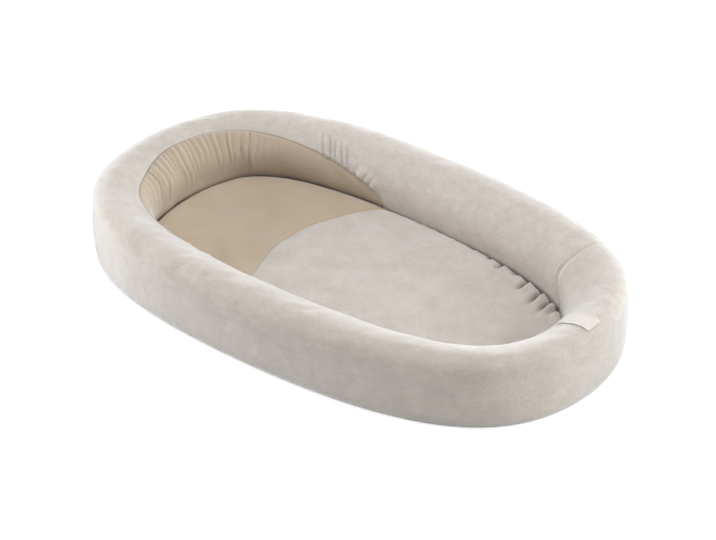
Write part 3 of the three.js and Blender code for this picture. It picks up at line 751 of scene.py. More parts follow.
def gather_height(at, rise, run):
    """Ridges in the velour above each end of the head panel, which start at its seam and lean from it."""
    turn = from_angle(at.degrees, 180)[:, None]
    degrees = 180 - np.abs(turn)
    place = smooth(degrees, GATHER_FIRST - 3, GATHER_FIRST + 1)
    place = place * (1 - smooth(degrees, GATHER_LAST - 1, GATHER_LAST + 3))
    above = rise - at.seam
    grown = smooth(degrees, *GATHER_TURN)
    tall = GATHER_REACH * mix(GATHER_SHORT, 1.0, grown)
    reach = smooth(above, -0.0002, 0.0012) * (1 - smooth(above, tall * GATHER_FULL, tall))
    slant = np.sign(turn) * mix(*GATHER_SLANTS, grown)
    reach = reach * np.where(turn > 0, 1 - smooth(rise, *NEAR_SIDE_LIMIT), 1)
    fold = pleats(run + slant * above, GATHER_PITCH, 5, 0.25, 1.0)
    return GATHER_HEIGHT * place * reach * fold


def pleats(run, pitch, seed, spread, sharp=0.75):
    """Rounded ridges with sharp valleys, each of its own width and height, along a run of cloth."""
    rng = np.random.default_rng(seed)
    count = int(3.2 / pitch)
    knots = np.cumsum(pitch * rng.uniform(1 - spread, 1 + spread, count)) - 0.3
    phase = np.interp(run, knots, np.arange(count))
    fold = np.floor(phase).astype(int)
    tall = rng.uniform(0.45, 1.0, count + 1)[fold]
    return tall * np.sin(math.pi * (phase - fold)) ** sharp


def head_seam_height(at, rise):
    """Velour turned in at the head panel's seam, and full just above it."""
    head = (np.abs(from_angle(at.degrees, 180)) <= 180 - CRESCENT_TIP)[:, None]
    above = rise - at.seam
    return head * (-0.0005 * near(above, 0, 0.0018) + 0.0004 * near(above, 0.008, 0.006))


def bolster_cover():
    at = Ring(spread_angles(COVER_STOPS, COVER_SPACINGS))
    grid, rise = cover_grid(at)
    normal = grid_normals(grid, wrap=True)
    run = run_along(at.line(at.width))[:, None]
    firm = smooth(grid[..., 2], 0.004, 0.03)
    soft = 0.0003 * ripple(grid, 0.09, 3) + 0.00015 * ripple(grid, 0.03, 4)
    seams = join_seam_height(at, rise) * smooth(grid[..., 2], 0.0, 0.02) + head_seam_height(at, rise)
    gathers = gather_height(at, rise, run)
    height = soft * firm + seams + gathers
    points = raised(grid, normal, height).reshape(-1, 3)
    sheet = raised(grid, normal, height + GATHER_SPARE * gathers).reshape(-1, 3)
    held = np.zeros(grid.shape[:2], bool)
    held[:, :3] = held[:, -3:] = held[:, SEAM_ROW] = True
    held |= np.abs(from_angle(at.degrees, JOIN_ANGLE))[:, None] < HELD_AT_JOIN
    at_head = np.abs(from_angle(at.degrees, 180)) < 180 - CRESCENT_TIP + 1e-6
    below_head = at_head & np.roll(at_head, -1)
    faces = quads(*grid.shape[:2], wrap=True, keep=lambda i, j: j < SEAM_ROW or not below_head[i])
    uv = pairs(run, run_along(grid[0])).reshape(-1, 2)
    points, faces, uv, sheet, held = drop_loose(points, faces, uv, sheet, held.ravel())
    piece = build("cover_bolster", points, faces, velour_cloth, uv)
    settle(piece, sheet, held, pressure=1.0)
    thicken(piece, CLOTH)
    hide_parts("bolster_cover")
    return piece


# Head wall panel

PANEL_ROWS = 44
PANEL_SPACING = 0.0016
PANEL_INSET = 0.05
FOLD_PITCH = 0.0092
FOLD_HEIGHT = 0.0034
CREASE_PITCH = 0.0048
CREASE_HEIGHT = 0.0011
WANDERS = (
    # size, waves down the panel, waves along it
    (0.0022, 4.2, 31),
    (0.0012, 9, 57),
)
FOLDS_GROW, FOLDS_FADE = (128, 154), (192, 216)
FOLDS_NEAR_SIDE = 0.8


def fold_height(at, run, down):
    """Folds of the gathered panel, square to its seam: fine ones at the seam run into fewer, longer ones."""
    rng = np.random.default_rng(11)
    turn = at.degrees[:, None]
    faded = 1 - FOLDS_NEAR_SIDE * smooth(turn, *FOLDS_FADE)
    strength = 0.12 + 0.88 * smooth(turn, *FOLDS_GROW) * faded
    wander = sum(size * np.sin(down * lower + run * on) for size, lower, on in WANDERS)
    ends = np.interp(run, np.arange(120) * 0.010 - 0.1, rng.uniform(0.6, 1.05, 120))
    long_reach = smooth(down, 0.0, 0.05) * (1 - smooth(down, ends - 0.4, ends))
    fine_reach = smooth(down, 0.0, 0.03) * (1 - smooth(down, 0.18, 0.42))
    folds = FOLD_HEIGHT * pleats(run + wander, FOLD_PITCH, 12, 0.4) * long_reach
    creases = CREASE_HEIGHT * pleats(run - wander, CREASE_PITCH, 13, 0.4) * fine_reach
    return strength * folds + (0.3 + 0.7 * strength) * creases


def head_wall():
    ends = [CRESCENT_TIP + PANEL_INSET, 360 - PANEL_INSET - CRESCENT_TIP]
    at = Ring(np.append(spread_angles(ends, [PANEL_SPACING]), ends[1]))
    down, groove = steps(PANEL_ROWS), steps(GROOVE_ROWS)[:, 1:]
    top = at.seam - CLEARANCE
    parts = [inner_wall(at, top * (1 - down)), groove_wall(at, groove)]
    grid = np.concatenate([at.place(u, z) for u, z in parts], 1)
    normal = grid_normals(grid, wrap=False)
    share = np.concatenate([down, 1 + groove], 1)
    run = run_along(at.line(at.width))[:, None]
    folds = fold_height(at, run, np.clip(share, 0, 1)) * smooth(top, 0.01, 0.05)
    from_seam = top * share
    height = folds - 0.0005 * near(from_seam, 0, 0.0030)
    height = height + 0.0005 * ripple(grid, 0.05, 8) * smooth(from_seam, 0, 0.02)
    held = np.zeros(grid.shape[:2], bool)
    held[:2] = held[-2:] = held[:, :1] = held[:, -3:] = True
    points, faces = raised(grid, normal, height), quads(*grid.shape[:2])
    # the wall takes the lighter copy of the cotton, a painted highlight
    piece = build("cover_head_wall", points, faces, gathered_cloth, pairs(run, from_seam))
    settle(piece, raised(grid, normal, height + FOLD_SPARE * folds), held, pressure=1.5)
    thicken(piece, CLOTH)
    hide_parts("head_wall_panel")


# Lying surface


def mattress_edge(degrees, beyond):
    at = Ring(degrees)
    return at.line(at.footprint + beyond)


def cover_edge(degrees):
    """The lying surface's edge, which runs out under the foot of the wall."""
    at = Ring(degrees)
    return at.line(at.foot + CLEARANCE)


EDGE_DEGREES = np.linspace(0, 360, 1441)
EDGE_LINE = cover_edge(EDGE_DEGREES)
EDGE_RING = Ring(EDGE_DEGREES)
SEAM_CENTRE = np.array([FLOOR_SEAM_APEX + FLOOR_SEAM_RADIUS, 0.0])
POINTS_AT_ONCE = 4000


def edge_distance(flat):
    """Distance of each point from the lying surface's edge, with the sizes of that edge."""
    found = []
    for chunk in np.array_split(flat, max(1, len(flat) // POINTS_AT_ONCE)):
        gap = np.linalg.norm(chunk[:, None, :] - EDGE_LINE[None, ::2, :], axis=-1)
        nearest = gap.argmin(1)
        sizes = (EDGE_RING.undercut, EDGE_RING.drop, EDGE_RING.roll)
        there = [size[::2, 0][nearest] for size in sizes]
        found.append(np.stack([gap.min(1), *there]))
    return np.concatenate(found, 1)


def edge_share(flat):
    """0 in the middle of the mattress and 1 at its edge, on the ray through each point."""
    turn = np.arctan2(EDGE_LINE[:-1, 1], EDGE_LINE[:-1, 0])
    order = np.argsort(turn)
    reach = np.linalg.norm(EDGE_LINE[:-1], axis=1)[order]
    here = np.arctan2(flat[:, 1], flat[:, 0])
    full = np.interp(here, turn[order], reach, period=2 * math.pi)
    return np.linalg.norm(flat, axis=1) / full


PUCKERS = (
    # angle of the start, length, depth
    (76.0, 0.012, 0.0018),
    (71.0, 0.016, 0.0030),
    (67.3, 0.028, 0.0046),
    (62.6, 0.018, 0.0026),
    (58.4, 0.044, 0.0060),
    (52.2, 0.052, 0.0072),
    (46.6, 0.050, 0.0072),
    (41.6, 0.034, 0.0050),
)
DEEPEST_PUCKER = max(depth for _, _, depth in PUCKERS)
PUCKER_WAY = np.array((0.15, -0.989))
PUCKER_SIDE = np.array((0.989, 0.15))
PUCKER_CREST = 0.42


def puckers(flat):
    """Height of the puckers at the foot corner, each of which runs in from the edge beside a ridge, and the
    painted shade in their creases.
    """
    height = np.zeros(len(flat))
    # folded sums the painted shade in the creases over all the puckers, from 0 to 1
    folded = np.zeros(len(flat))
    for middle, length, depth in PUCKERS:
        off = flat - cover_edge([middle])[0]
        along, across = off @ PUCKER_WAY, off @ PUCKER_SIDE
        reach = (1 - smooth(along, length * 0.45, length * 1.1)) * smooth(along, -0.030, 0.002)
        inwards = np.clip(along, 0, None)
        crest = near(across, 0.0075 + 0.05 * inwards, 0.0050)
        crease = near(across, 0.0, 0.0035 + 0.03 * inwards)
        height += depth * reach * (PUCKER_CREST * crest * smooth(along, -0.002, 0.009) - crease)
        # painted shade along each crease, strongest for the deepest puckers
        crease_shade = near(across, -0.0006, 0.0026 + 0.03 * inwards)
        crease_shade = crease_shade * (1 - smooth(along, length * 0.4, length * 1.15))
        folded += depth / DEEPEST_PUCKER * crease_shade * smooth(along, -0.004, 0.001)
    return height, np.clip(folded, 0, 1)


def floor_height(flat):
    """Height of the lying surface: crowned, rolled down at its edge and drawn in at the curved seam."""
    share = edge_share(flat)
    from_edge, undercut, drop, roll_depth = edge_distance(flat)
    crown = FLOOR_EDGE + FLOOR_CROWN * (1 - np.clip(share, 0, 1) ** CROWN_POWER)
    over = np.clip(1 - from_edge / (FLOOR_ROLL + undercut), 0, 1)
    roll = (drop + roll_depth) * (1 - np.sqrt(1 - over**2))
    from_seam = np.abs(np.linalg.norm(flat - SEAM_CENTRE, axis=1) - FLOOR_SEAM_RADIUS)
    valley = 0.0007 * near(from_seam, 0, 0.0028) + 0.0010 * near(from_seam, 0, 0.012)
    points = at_height(flat, 0.0)
    soft = 0.0008 * ripple(points, 0.11, 21) + 0.0003 * ripple(points, 0.045, 22)
    return crown - roll - valley + soft * smooth(from_edge, 0, 0.03) + puckers(flat)[0]


def seam_meets_edge():
    """Angle at which the curved seam meets the mattress edge."""
    degrees = np.linspace(90, 150, 2401)
    gap = np.linalg.norm(cover_edge(degrees) - SEAM_CENTRE, axis=1) - FLOOR_SEAM_RADIUS
    return degrees[np.argmin(np.abs(gap))]


# rings of points from the border to the middle: close ones first, then wider ones
CLOSE_RINGS = np.linspace(0, 0.28, 40)[:-1]
WIDE_RINGS = np.linspace(0.28, 0.97, 22)
SEAM_POINTS = 130
EDGE_SPACING, PUCKER_SPACING = 0.0034, 0.0010
PUCKERS_FIRST, PUCKERS_LAST = 34, 80


def floor_panel(name, node, stops, spacings, gap, middle, material):
    """One part of the lying surface: rings drawn in from its edge and seam towards its middle."""
    edge = cover_edge(spread_angles(stops, spacings))
    ends = [cover_edge([stops[-1]])[0], cover_edge([stops[0]])[0]]
    start, stop = [math.atan2(*(p - SEAM_CENTRE)[::-1]) % (2 * math.pi) for p in ends]
    arc = np.linspace(start, stop, SEAM_POINTS)[:-1]
    seam = SEAM_CENTRE + (FLOOR_SEAM_RADIUS + gap) * np.stack([np.cos(arc), np.sin(arc)], 1)
    border = np.concatenate([edge, seam])
    middle = np.array(middle)
    shares = 1 - np.concatenate([CLOSE_RINGS, WIDE_RINGS])
    flat = (middle + (border - middle)[:, None, :] * shares[None, :, None]).reshape(-1, 2)
    points = at_height(flat, floor_height(flat))
    points = np.concatenate([points, at_height(middle[None], floor_height(middle[None]))])
    count, rings, hub = len(border), len(shares), len(points) - 1
    faces = [f[::-1] for f in quads(count, rings, wrap=True)]
    faces += [((i + 1) % count * rings + rings - 1, i * rings + rings - 1, hub) for i in range(count)]
    piece = build(name, points, faces, material, points[:, :2])
    # the crease attribute carries the painted shade in the puckers' creases, which the velour multiplies in
    crease = piece.data.attributes.new("crease", "FLOAT", "POINT")
    crease.data.foreach_set("value", puckers(points[:, :2])[1])
    thicken(piece, CLOTH, facing=1)
    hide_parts(node)


def lying_surface():
    meet = seam_meets_edge()
    half = CLEARANCE / 2
    floor_panel(
        "cover_head_floor", "head_floor_panel", [meet, 360 - meet], [EDGE_SPACING],
        half, (-0.235, 0.0), cotton_cloth,
    )
    floor_panel(
        "cover_foot_floor", "foot_floor_panel", [-meet, PUCKERS_FIRST, PUCKERS_LAST, meet],
        [EDGE_SPACING, PUCKER_SPACING, EDGE_SPACING],
        -half, (0.1, 0.0), velour_cloth,
    )


# Underside

BASE_ROWS = 26
BASE_SPACING = 0.006
WINDOW_HALF_LENGTH = 0.266
WINDOW_HALF_WIDTH = 0.007
WINDOW_TAPER = 0.022
BASE_MARGIN = 0.0046


def base_panel(name, node, side):
    outer = Ring(np.append(spread_angles([0.0, 180.0], [BASE_SPACING]), 180.0)).line(BASE_MARGIN)
    gap_y = np.interp(
        np.abs(outer[:, 0]),
        [WINDOW_HALF_LENGTH - WINDOW_TAPER, WINDOW_HALF_LENGTH],
        [WINDOW_HALF_WIDTH, CLEARANCE / 2],
    )
    inner = np.stack([outer[:, 0], np.minimum(gap_y, outer[:, 1])], 1)
    share = steps(BASE_ROWS) ** 0.8
    flat = mix(inner[:, None, :], outer[:, None, :], share[..., None])
    points = flat.reshape(-1, 2)
    beyond = np.linalg.norm(points, axis=1) - edge_reach(points)
    lift = BASE_LIFT * (1 - smooth(beyond, -BASE_STEP_RUN, 0.0))
    height = lift + 0.0002 * ripple(at_height(points, 0.0), 0.05, 31) * (lift > 0.001)
    height = height + 0.0008 * near(points[:, 1], 0, 0.003) * (np.abs(points[:, 0]) < 0.32)
    points = at_height(points, height)
    points[:, 1] *= side
    faces = quads(len(outer), BASE_ROWS + 1)
    piece = build(name, points, faces, base_cloth, points[:, :2])
    thicken(piece, BASE_CLOTH, facing=-1)
    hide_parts(node)


def edge_reach(flat):
    """Distance from the middle to the mattress edge, on the ray through each point."""
    return np.linalg.norm(flat, axis=1) / np.maximum(edge_share(flat), 1e-6)


# Inside the bolster

INNER_SPACING = 0.0065


def inner_section(at, inset, hem):
    """Rows of the ring inside the cover, from underneath round over the rim and back underneath."""
    rises = at.crest_rise * np.linspace(1, 0, 16)[None, 1:]
    outer = outer_wall(at, steps(12), inset, INNER_SEAT)
    inner = inner_wall(at, rises, inset)
    foot_u = at.foot - inset
    foot_z = mix(FLOOR_EDGE - at.drop, INNER_SEAT, steps(5)[:, 1:])
    start_u = outer[0][:, :1]
    middle = (start_u + foot_u) / 2
    out_way = np.linspace(1, 0, 6)[None, :-1]
    in_way = steps(5)[:, 1:]
    before = mix(start_u, middle - hem, out_way), INNER_SEAT - 0.0004 * np.sin(math.pi * out_way)
    after = mix(foot_u, middle + hem, in_way), INNER_SEAT - 0.0004 * np.sin(math.pi * in_way)
    foot = foot_u * np.ones_like(foot_z), foot_z
    return np.concatenate([at.place(u, z) for u, z in (before, outer, inner, foot, after)], 1)


def cloth_uv(grid):
    """Cloth coordinates from the lengths along a grid's first row and column."""
    return pairs(run_along(grid[:, 0])[:, None], run_along(grid[0]))


def inner_ring(name, node, inset, material, hem=0.0, thickness=0.0):
    at = Ring(spread_angles([0, 360], [INNER_SPACING]))
    grid = inner_section(at, inset, hem)
    grid = raised(grid, grid_normals(grid, wrap=True), 0.0004 * ripple(grid, 0.06, 41))
    faces = quads(*grid.shape[:2], wrap=True, loop=not hem)
    piece = build(name, grid, faces, material, cloth_uv(grid))
    if thickness:
        thicken(piece, thickness)
    else:
        outward(piece.data)
    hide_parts(node)


# Mattress

SLAB_SHARE = 0.8
# rows round each edge: distance beyond the footprint, height
CASING_EDGE = (
    (0.014, 0.0052), (0.009, 0.0058), (0.0072, 0.0085), (0.0068, 0.0125), (0.0076, 0.0165), (0.0100, 0.0195),
)
CORE_EDGE = (
    (0.016, 0.0068), (0.0105, 0.0078), (0.0090, 0.0105), (0.0088, 0.0130), (0.0098, 0.0160), (0.0125, 0.0180),
)


def slab(name, node, edges, material, slot_width, slot_z, drop, thickness=0.0):
    """A mattress body in rows from the line underneath, out round its edge and back over the top."""
    half = spread_angles([0, 180], [INNER_SPACING])
    degrees = np.concatenate([half, 180 + half])
    rim = mattress_edge(degrees, 0.012)
    spine = np.stack([rim[:, 0] * SLAB_SHARE, np.zeros(len(rim))], 1)
    at_slot = slot_width / np.maximum(np.abs(rim[:, 1]), 4 * slot_width)
    slot_edge = mix(spine, rim, at_slot[:, None])
    rows = [(spine, slot_z)] if not thickness else []
    rows += [(slot_edge, z) for z in ([slot_z, edges[0][1]] if not thickness else [edges[0][1]])]
    rows += [(mattress_edge(degrees, beyond), z) for beyond, z in edges]
    top_edge = mattress_edge(degrees, edges[-1][0] + 0.004)
    for share in np.linspace(1, 0, 15):
        crown = FLOOR_EDGE - drop + FLOOR_CROWN * (1 - share**CROWN_POWER)
        rows.append((mix(spine, top_edge, share), crown))
    grid = np.stack([at_height(flat, z) for flat, z in rows], 1)
    piece = build(name, grid, quads(*grid.shape[:2], wrap=True), material, cloth_uv(grid))
    outward(piece.data)
    if thickness:
        thicken(piece, thickness)
    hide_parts(node)


def mattress():
    slab(
        "inner_casing", "mattress_casing", CASING_EDGE, lining_cloth,
        slot_width=0.0305, slot_z=0.0, drop=0.0085, thickness=LINER,
    )
    slab(
        "inner_core", "mattress_core", CORE_EDGE, core_foam,
        slot_width=0.0075, slot_z=0.0084, drop=0.0102,
    )


# Zip

ZIP_MIDDLE = 0.0052
TAPE_HALF_LENGTH = 0.272
TAPE_INNER, TAPE_OUTER = 0.0032, 0.0222
TAPE_THICKNESS = 0.0006
COIL_HALF_LENGTH = 0.2578
COIL_PITCH = 0.0014
COIL_INNER, COIL_OUTER = 0.0008, 0.0028
COIL_HALF_HEIGHT = 0.00098
COIL_WIRE = 0.00024
TURN_STEPS = 12
COIL_SIDES = 6
TAPE_COLUMNS, TAPE_ROWS = 219, 13
STOP_ROWS, STOP_SIDES = 25, 32
STOP_ROUNDING = 0.55
STOP_WAIST = 0.16


def zip_tape(name, node, side):
    x = np.linspace(-TAPE_HALF_LENGTH, TAPE_HALF_LENGTH, TAPE_COLUMNS)
    y = side * np.linspace(TAPE_INNER, TAPE_OUTER, TAPE_ROWS)
    flat = pairs(x[:, None], y)
    along, across = flat[..., 0], np.abs(flat[..., 1]) - TAPE_INNER
    z = ZIP_MIDDLE + TAPE_THICKNESS / 2 + 0.00004 * np.sin(along * 260) * smooth(across, 0.004, 0.02)
    piece = build(name, at_height(flat, z), quads(TAPE_COLUMNS, TAPE_ROWS), tape_cloth, flat)
    thicken(piece, TAPE_THICKNESS, facing=1)
    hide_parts(node)


def zip_coil(name, node, side):
    turns = 2 * COIL_HALF_LENGTH / COIL_PITCH
    turn = np.linspace(0, turns, int(turns * TURN_STEPS)) * 2 * math.pi
    x = -COIL_HALF_LENGTH + turn / (2 * math.pi) * COIL_PITCH
    wide = (COIL_OUTER - COIL_INNER) / 2 - COIL_WIRE
    y = side * ((COIL_OUTER + COIL_INNER) / 2 - wide * np.cos(turn + (math.pi if side < 0 else 0)))
    z = ZIP_MIDDLE + (COIL_HALF_HEIGHT - COIL_WIRE) * np.sin(turn)
    points, faces = tube(np.stack([x, y, z], -1), COIL_WIRE, COIL_SIDES, (1, 0, 0))
    piece = build(name, points, faces, coil_nylon)
    outward(piece.data)
    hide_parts(node)


def zip_stop(name, node):
    """A metal stop clamped on the tape: rounded all over, with a crimped waist."""
    low, high = (np.array(corner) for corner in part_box(node))
    middle, half = (low + high) / 2, (high - low) / 2
    along = np.sin(np.linspace(-1, 1, STOP_ROWS) * math.pi / 2)
    turn = np.linspace(0, 2 * math.pi, STOP_SIDES, endpoint=False)
    square = np.stack([np.cos(turn), np.sin(turn)], -1)
    square = np.sign(square) * np.abs(square) ** STOP_ROUNDING
    size = (1 - 0.999 * along**8) ** 0.5 * (1 - STOP_WAIST * near(along, 0, 0.25))
    points = np.empty((STOP_ROWS, STOP_SIDES, 3))
    points[..., 0] = middle[0] + half[0] * along[:, None]
    points[..., 1:] = middle[1:] + half[1:] * size[:, None, None] * square
    piece = build(name, points, capped(STOP_ROWS, STOP_SIDES), zip_nickel)
    outward(piece.data)
    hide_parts(node)


def zip_parts():
    for word, side in (("left", 1), ("right", -1)):
        zip_tape(f"tape_{word}", f"zip_tape_{word}", side)
        zip_coil(f"coil_{word}", f"zip_coil_{word}", side)
        zip_stop(f"zip_stop_top_{word}", f"zip_top_stop_{word}")
    zip_stop("zip_stop_bottom", "zip_bottom_stop")
    for node in ("zip_slider", "zip_pull"):
        piece = frame["nodes"][node]
        piece.data.materials.clear()
        piece.data.materials.append(zip_nickel)


# Labels

RIBBON = 0.0005
BADGE_MIDDLE_Y = 0.001
BADGE_HALF_WIDTH = 0.0145
BADGE_START, BADGE_END = -0.0100, 0.0430
BADGE_HEM = 0.0045
BADGE_TURN = 7
BADGE_STATIONS, BADGE_COLUMNS, STITCH_COLUMNS = 57, 21, 5


def rim_row(at, way):
    """Points of the cover at a distance over the rim, inwards from its crest."""
    if way < 0:
        out, drop = rim_top(at)
        return at.place(at.crest + way, at.top - drop * (-way / out) ** RIM_TOP_POWER)
    return at.place(*inner_wall(at, at.crest_rise - way))


def lie_on(piece, grid, normal):
    """Moves points along their normals onto a piece's outer surface."""
    mesh = piece.data
    tree = BVHTree.FromPolygons([v.co[:] for v in mesh.vertices], [p.vertices[:] for p in mesh.polygons])
    above = 0.01
    found = grid.copy()
    for index in np.ndindex(grid.shape[:2]):
        out = Vector(normal[index])
        hit = tree.ray_cast(Vector(grid[index]) + out * above, -out, 2 * above)[0]
        if hit is not None:
            found[index] = hit
    return found


def badge(cover):
    """The bare ribbon label over the rim at the foot: both its ends are folded under and sewn down."""
    at = Ring(np.linspace(-BADGE_TURN, BADGE_TURN, BADGE_STATIONS))
    ways = np.concatenate([
        np.linspace(BADGE_START, BADGE_START + BADGE_HEM, 6)[:-1],
        np.linspace(BADGE_START + BADGE_HEM, BADGE_END - BADGE_HEM, 34),
        np.linspace(BADGE_END - BADGE_HEM, BADGE_END, 6)[1:],
    ])
    across = np.linspace(-BADGE_HALF_WIDTH, BADGE_HALF_WIDTH, BADGE_COLUMNS) + BADGE_MIDDLE_Y
    rows = []
    for way in ways:
        row = rim_row(at, way)[:, 0]
        rows.append(np.stack([np.interp(across, row[:, 1], row[:, k]) for k in range(3)], -1))
    grid = np.stack(rows, 0)
    normal = grid_normals(grid, wrap=False)
    normal *= np.sign(normal[..., 2:3])
    grid = lie_on(cover, grid, normal)
    side = (across - BADGE_MIDDLE_Y)[None, :]
    from_end = np.minimum(ways - BADGE_START, BADGE_END - ways)[:, None]
    double = 1 - smooth(from_end, BADGE_HEM - 0.0010, BADGE_HEM + 0.0006)
    edge = smooth(np.abs(side), BADGE_HALF_WIDTH - 0.004, BADGE_HALF_WIDTH)
    height = RIBBON + 0.0004 + 0.0004 * double + 0.0006 * edge * (1 - double)
    height = height + 0.0002 * np.sin(ways * 330)[:, None] * (1 - double) * np.cos(side * 160)
    height = height - 0.00025 * near(from_end, BADGE_HEM * 0.55, 0.0006)
    points, uv = raised(grid, normal, height), pairs(ways[:, None], across)
    piece = build("ribbon_label", points, quads(*grid.shape[:2]), satin_cloth, uv)
    thicken(piece, RIBBON, facing=1)
    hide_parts("woven_label")
    rows = []
    for index in (2, len(ways) - 3):
        line, out = points[index], normal[index]
        starts = range(0, BADGE_COLUMNS - STITCH_COLUMNS, STITCH_COLUMNS)
        rows += [(line[k], line[k + STITCH_COLUMNS], out[k + STITCH_COLUMNS // 2]) for k in starts]
    sewn = stitches("ribbon_label_stitches", rows, length=0.0020, gap=0.0006, radius=0.00022)


CARE_CORNER = (0.180, -0.0380)
CARE_SIZE = (0.040, 0.025)
CARE_HEIGHT = 0.0019
CARE_THICKNESS = 0.0003


def care_label():
    """A bare ribbon label sewn flat on the underside, beside the zip."""
    x = CARE_CORNER[0] + np.linspace(0, CARE_SIZE[0], 33)
    y = CARE_CORNER[1] + np.linspace(0, CARE_SIZE[1], 21)
    flat = pairs(x[:, None], y)
    from_seam = (y[-1] - flat[..., 1]) / CARE_SIZE[1]
    z = CARE_HEIGHT - 0.0002 * from_seam * (1 + np.sin(flat[..., 0] * 300)) / 2
    faces = quads(len(x), len(y))
    piece = build("ribbon_care_label", at_height(flat, z), faces, satin_cloth, flat)
    thicken(piece, CARE_THICKNESS, facing=1)
    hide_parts("care_label")
    ends = [(end, y[-1] - 0.002, CARE_HEIGHT - 0.0003) for end in (x[0] + 0.001, x[-1] - 0.001)]
    row = (*ends, (0, 0, -1))
    sewn = stitches("ribbon_care_label_stitches", [row], length=0.0022, gap=0.0008, radius=0.00018)


BASE_ROWS_OF_STITCHES = (
    # distance from the middle, half length, height
    (0.0095, 0.262, 0.0020),
    (0.0128, 0.262, 0.0020),
    (0.0041, 0.256, 0.0049),
)


def base_stitches():
    """Stitched hems along both sides of the zip window, and a row along the coils on each tape."""
    rows = [
        ((-half, side * y, z), (half, side * y, z), (0, 0, -1))
        for side in (1, -1)
        for y, half, z in BASE_ROWS_OF_STITCHES
    ]
    stitches("base_window_stitches", rows, length=0.0026, gap=0.0009, radius=0.00022)


# Camera, light and floor

CAMERA_AZIMUTH = 39.46
CAMERA_ELEVATION = 32.80
CAMERA_DISTANCE = 2.899
LENS = 99.0
SENSOR_WIDTH = 36
FRAME_SIZE = (716, 540)
ORIGIN_PIXEL = (353.72, 283.38)


def camera():
    azimuth, elevation = math.radians(CAMERA_AZIMUTH), math.radians(CAMERA_ELEVATION)
    level = math.cos(elevation)
    back = Vector((math.sin(azimuth) * level, -math.cos(azimuth) * level, math.sin(elevation)))
    data = bpy.data.cameras.new("camera")
    data.lens = LENS
    data.sensor_width = SENSOR_WIDTH
    data.shift_x = (FRAME_SIZE[0] / 2 - ORIGIN_PIXEL[0]) / FRAME_SIZE[0]
    data.shift_y = (ORIGIN_PIXEL[1] - FRAME_SIZE[1] / 2) / FRAME_SIZE[0]
    eye = bpy.data.objects.new("camera", data)
    eye.location = back * CAMERA_DISTANCE
    eye.rotation_mode = "QUATERNION"
    eye.rotation_quaternion = (-back).to_track_quat("-Z", "Y")
    bpy.context.scene.collection.objects.link(eye)
    bpy.context.scene.camera = eye


def seen_rays(tree):
    """1 for the rays that carry the backdrop's look: camera, glossy and transmission rays."""
    rays = node(tree, "ShaderNodeLightPath").node.outputs
    total = rays["Is Camera Ray"]
    for name in ("Is Glossy Ray", "Is Transmission Ray"):
        total = node(tree, "ShaderNodeMath", total, rays[name], operation="MAXIMUM")
    return total


SOFTBOXES = (
    # name, place, size, watts
    ("overhead_softbox", (0.0, 0.0, 2.2), 1.8, 34.5),
    ("foot_softbox", (2.0, 0.0, 0.8), 1.2, 15.0),
    ("foot_far_softbox", (1.6, 1.35, 0.7), 1.0, 15.0),
    ("far_softbox", (0.0, 2.1, 0.45), 0.9, 26.0),
    ("head_softbox", (-2.2, -0.3, 0.35), 0.7, 25.0),
    ("head_near_softbox", (-1.7, -1.5, 0.35), 0.7, 24.0),
)
WORLD_LIGHT = 0.15
FLOOR_HALF = 4.0
FLOOR_GREY = 0.86
FLOOR_LIFT = 0.45
FLOOR_FADE = (0.9, 2.4)
UNDERSIDE_WATTS = 42.0
UNDERSIDE_PIECES = ("base_", "tape_", "coil_", "ribbon_care")


def empty_tree(owner):
    owner.use_nodes = True
    owner.node_tree.nodes.clear()
    return owner.node_tree


def world():
    sky = bpy.data.worlds.new("studio")
    tree = empty_tree(sky)
    backs = [node(tree, "ShaderNodeBackground", (1, 1, 1), strength) for strength in (WORLD_LIGHT, 1.0)]
    node(tree, "ShaderNodeOutputWorld", node(tree, "ShaderNodeMixShader", seen_rays(tree), *backs))
    bpy.context.scene.world = sky


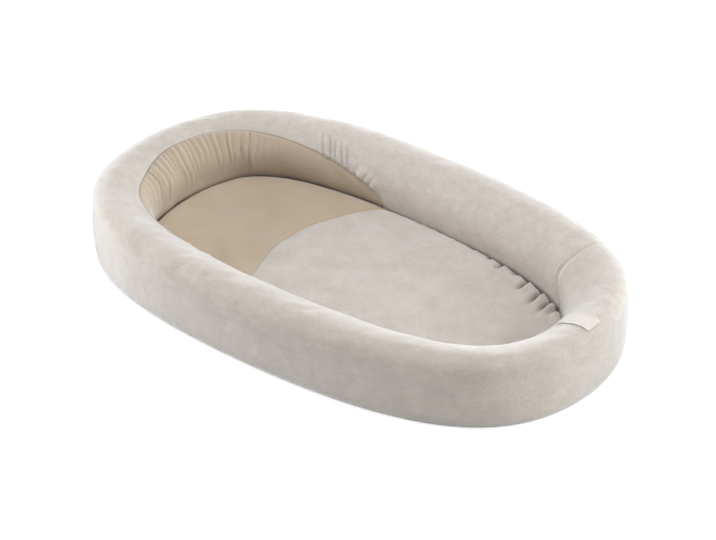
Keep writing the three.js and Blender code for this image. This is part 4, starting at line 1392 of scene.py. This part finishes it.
def stage_floor():
    """A pale floor that is clear from below, so that the underside shows there."""
    mesh = bpy.data.meshes.new("studio_floor")
    corners = [(x * FLOOR_HALF, y * FLOOR_HALF, 0) for x, y in ((-1, -1), (1, -1), (1, 1), (-1, 1))]
    mesh.from_pydata(corners, [], [(0, 1, 2, 3)])
    floor = bpy.data.objects.new("studio_floor", mesh)
    floor.location.z = -CLEARANCE
    bpy.context.scene.collection.objects.link(floor)
    material = bpy.data.materials.new("white_floor")
    tree = empty_tree(material)
    place = node(tree, "ShaderNodeTexCoord", output="Object")
    reach = node(tree, "ShaderNodeVectorMath", place, output="Value", operation="LENGTH")
    fade = node(tree, "ShaderNodeMapRange", reach, *FLOOR_FADE, FLOOR_LIFT, 1.0)
    lift = node(tree, "ShaderNodeMath", seen_rays(tree), fade, operation="MULTIPLY")
    diffuse = node(tree, "ShaderNodeBsdfDiffuse", (FLOOR_GREY,) * 3)
    glow = node(tree, "ShaderNodeEmission", None, lift)
    pale = node(tree, "ShaderNodeAddShader", diffuse, glow)
    back = node(tree, "ShaderNodeNewGeometry", output="Backfacing")
    seen = node(tree, "ShaderNodeLightPath", output="Is Camera Ray")
    below = node(tree, "ShaderNodeMath", back, seen, operation="MULTIPLY")
    clear = node(tree, "ShaderNodeBsdfTransparent")
    node(tree, "ShaderNodeOutputMaterial", node(tree, "ShaderNodeMixShader", below, pale, clear))
    mesh.materials.append(material)


def softbox(name, place, target, size, power):
    data = bpy.data.lights.new(name, "AREA")
    data.shape = "RECTANGLE"
    data.size, data.size_y = size
    data.energy = power
    lamp = bpy.data.objects.new(name, data)
    lamp.location = place
    lamp.rotation_mode = "QUATERNION"
    lamp.rotation_quaternion = (Vector(target) - Vector(place)).to_track_quat("-Z", "Y")
    bpy.context.scene.collection.objects.link(lamp)


def underside_light():
    """A softbox below the floor that lights only the underside's own pieces."""
    softbox("underside_softbox", (0.0, 0.0, -2.2), (0, 0, 0), (1.8, 1.8), UNDERSIDE_WATTS)
    links = bpy.data.objects["underside_softbox"].light_linking
    links.receiver_collection = bpy.data.collections.new("underside_pieces")
    links.blocker_collection = bpy.data.collections.new("underside_blockers")
    for piece in bpy.context.scene.objects:
        if piece.type == "MESH" and piece.name != "studio_floor":
            links.blocker_collection.objects.link(piece)
            if piece.name.startswith(UNDERSIDE_PIECES):
                links.receiver_collection.objects.link(piece)


bpy.context.scene.view_settings.view_transform = "Standard"
camera()
world()
stage_floor()
for name, place, size, power in SOFTBOXES:
    softbox(name, place, (0, 0, 0.05), (size, size), power)

cover = bolster_cover()
head_wall()
lying_surface()
base_panel("base_left", "base_panel_left", 1)
base_panel("base_right", "base_panel_right", -1)
inner_ring("inner_lining", "bolster_lining", LINER_INSET, lining_cloth, 0.012, LINER)
inner_ring("inner_filling", "bolster_filling", FILL_INSET, core_foam)
mattress()
zip_parts()
badge(cover)
care_label()
base_stitches()
underside_light()
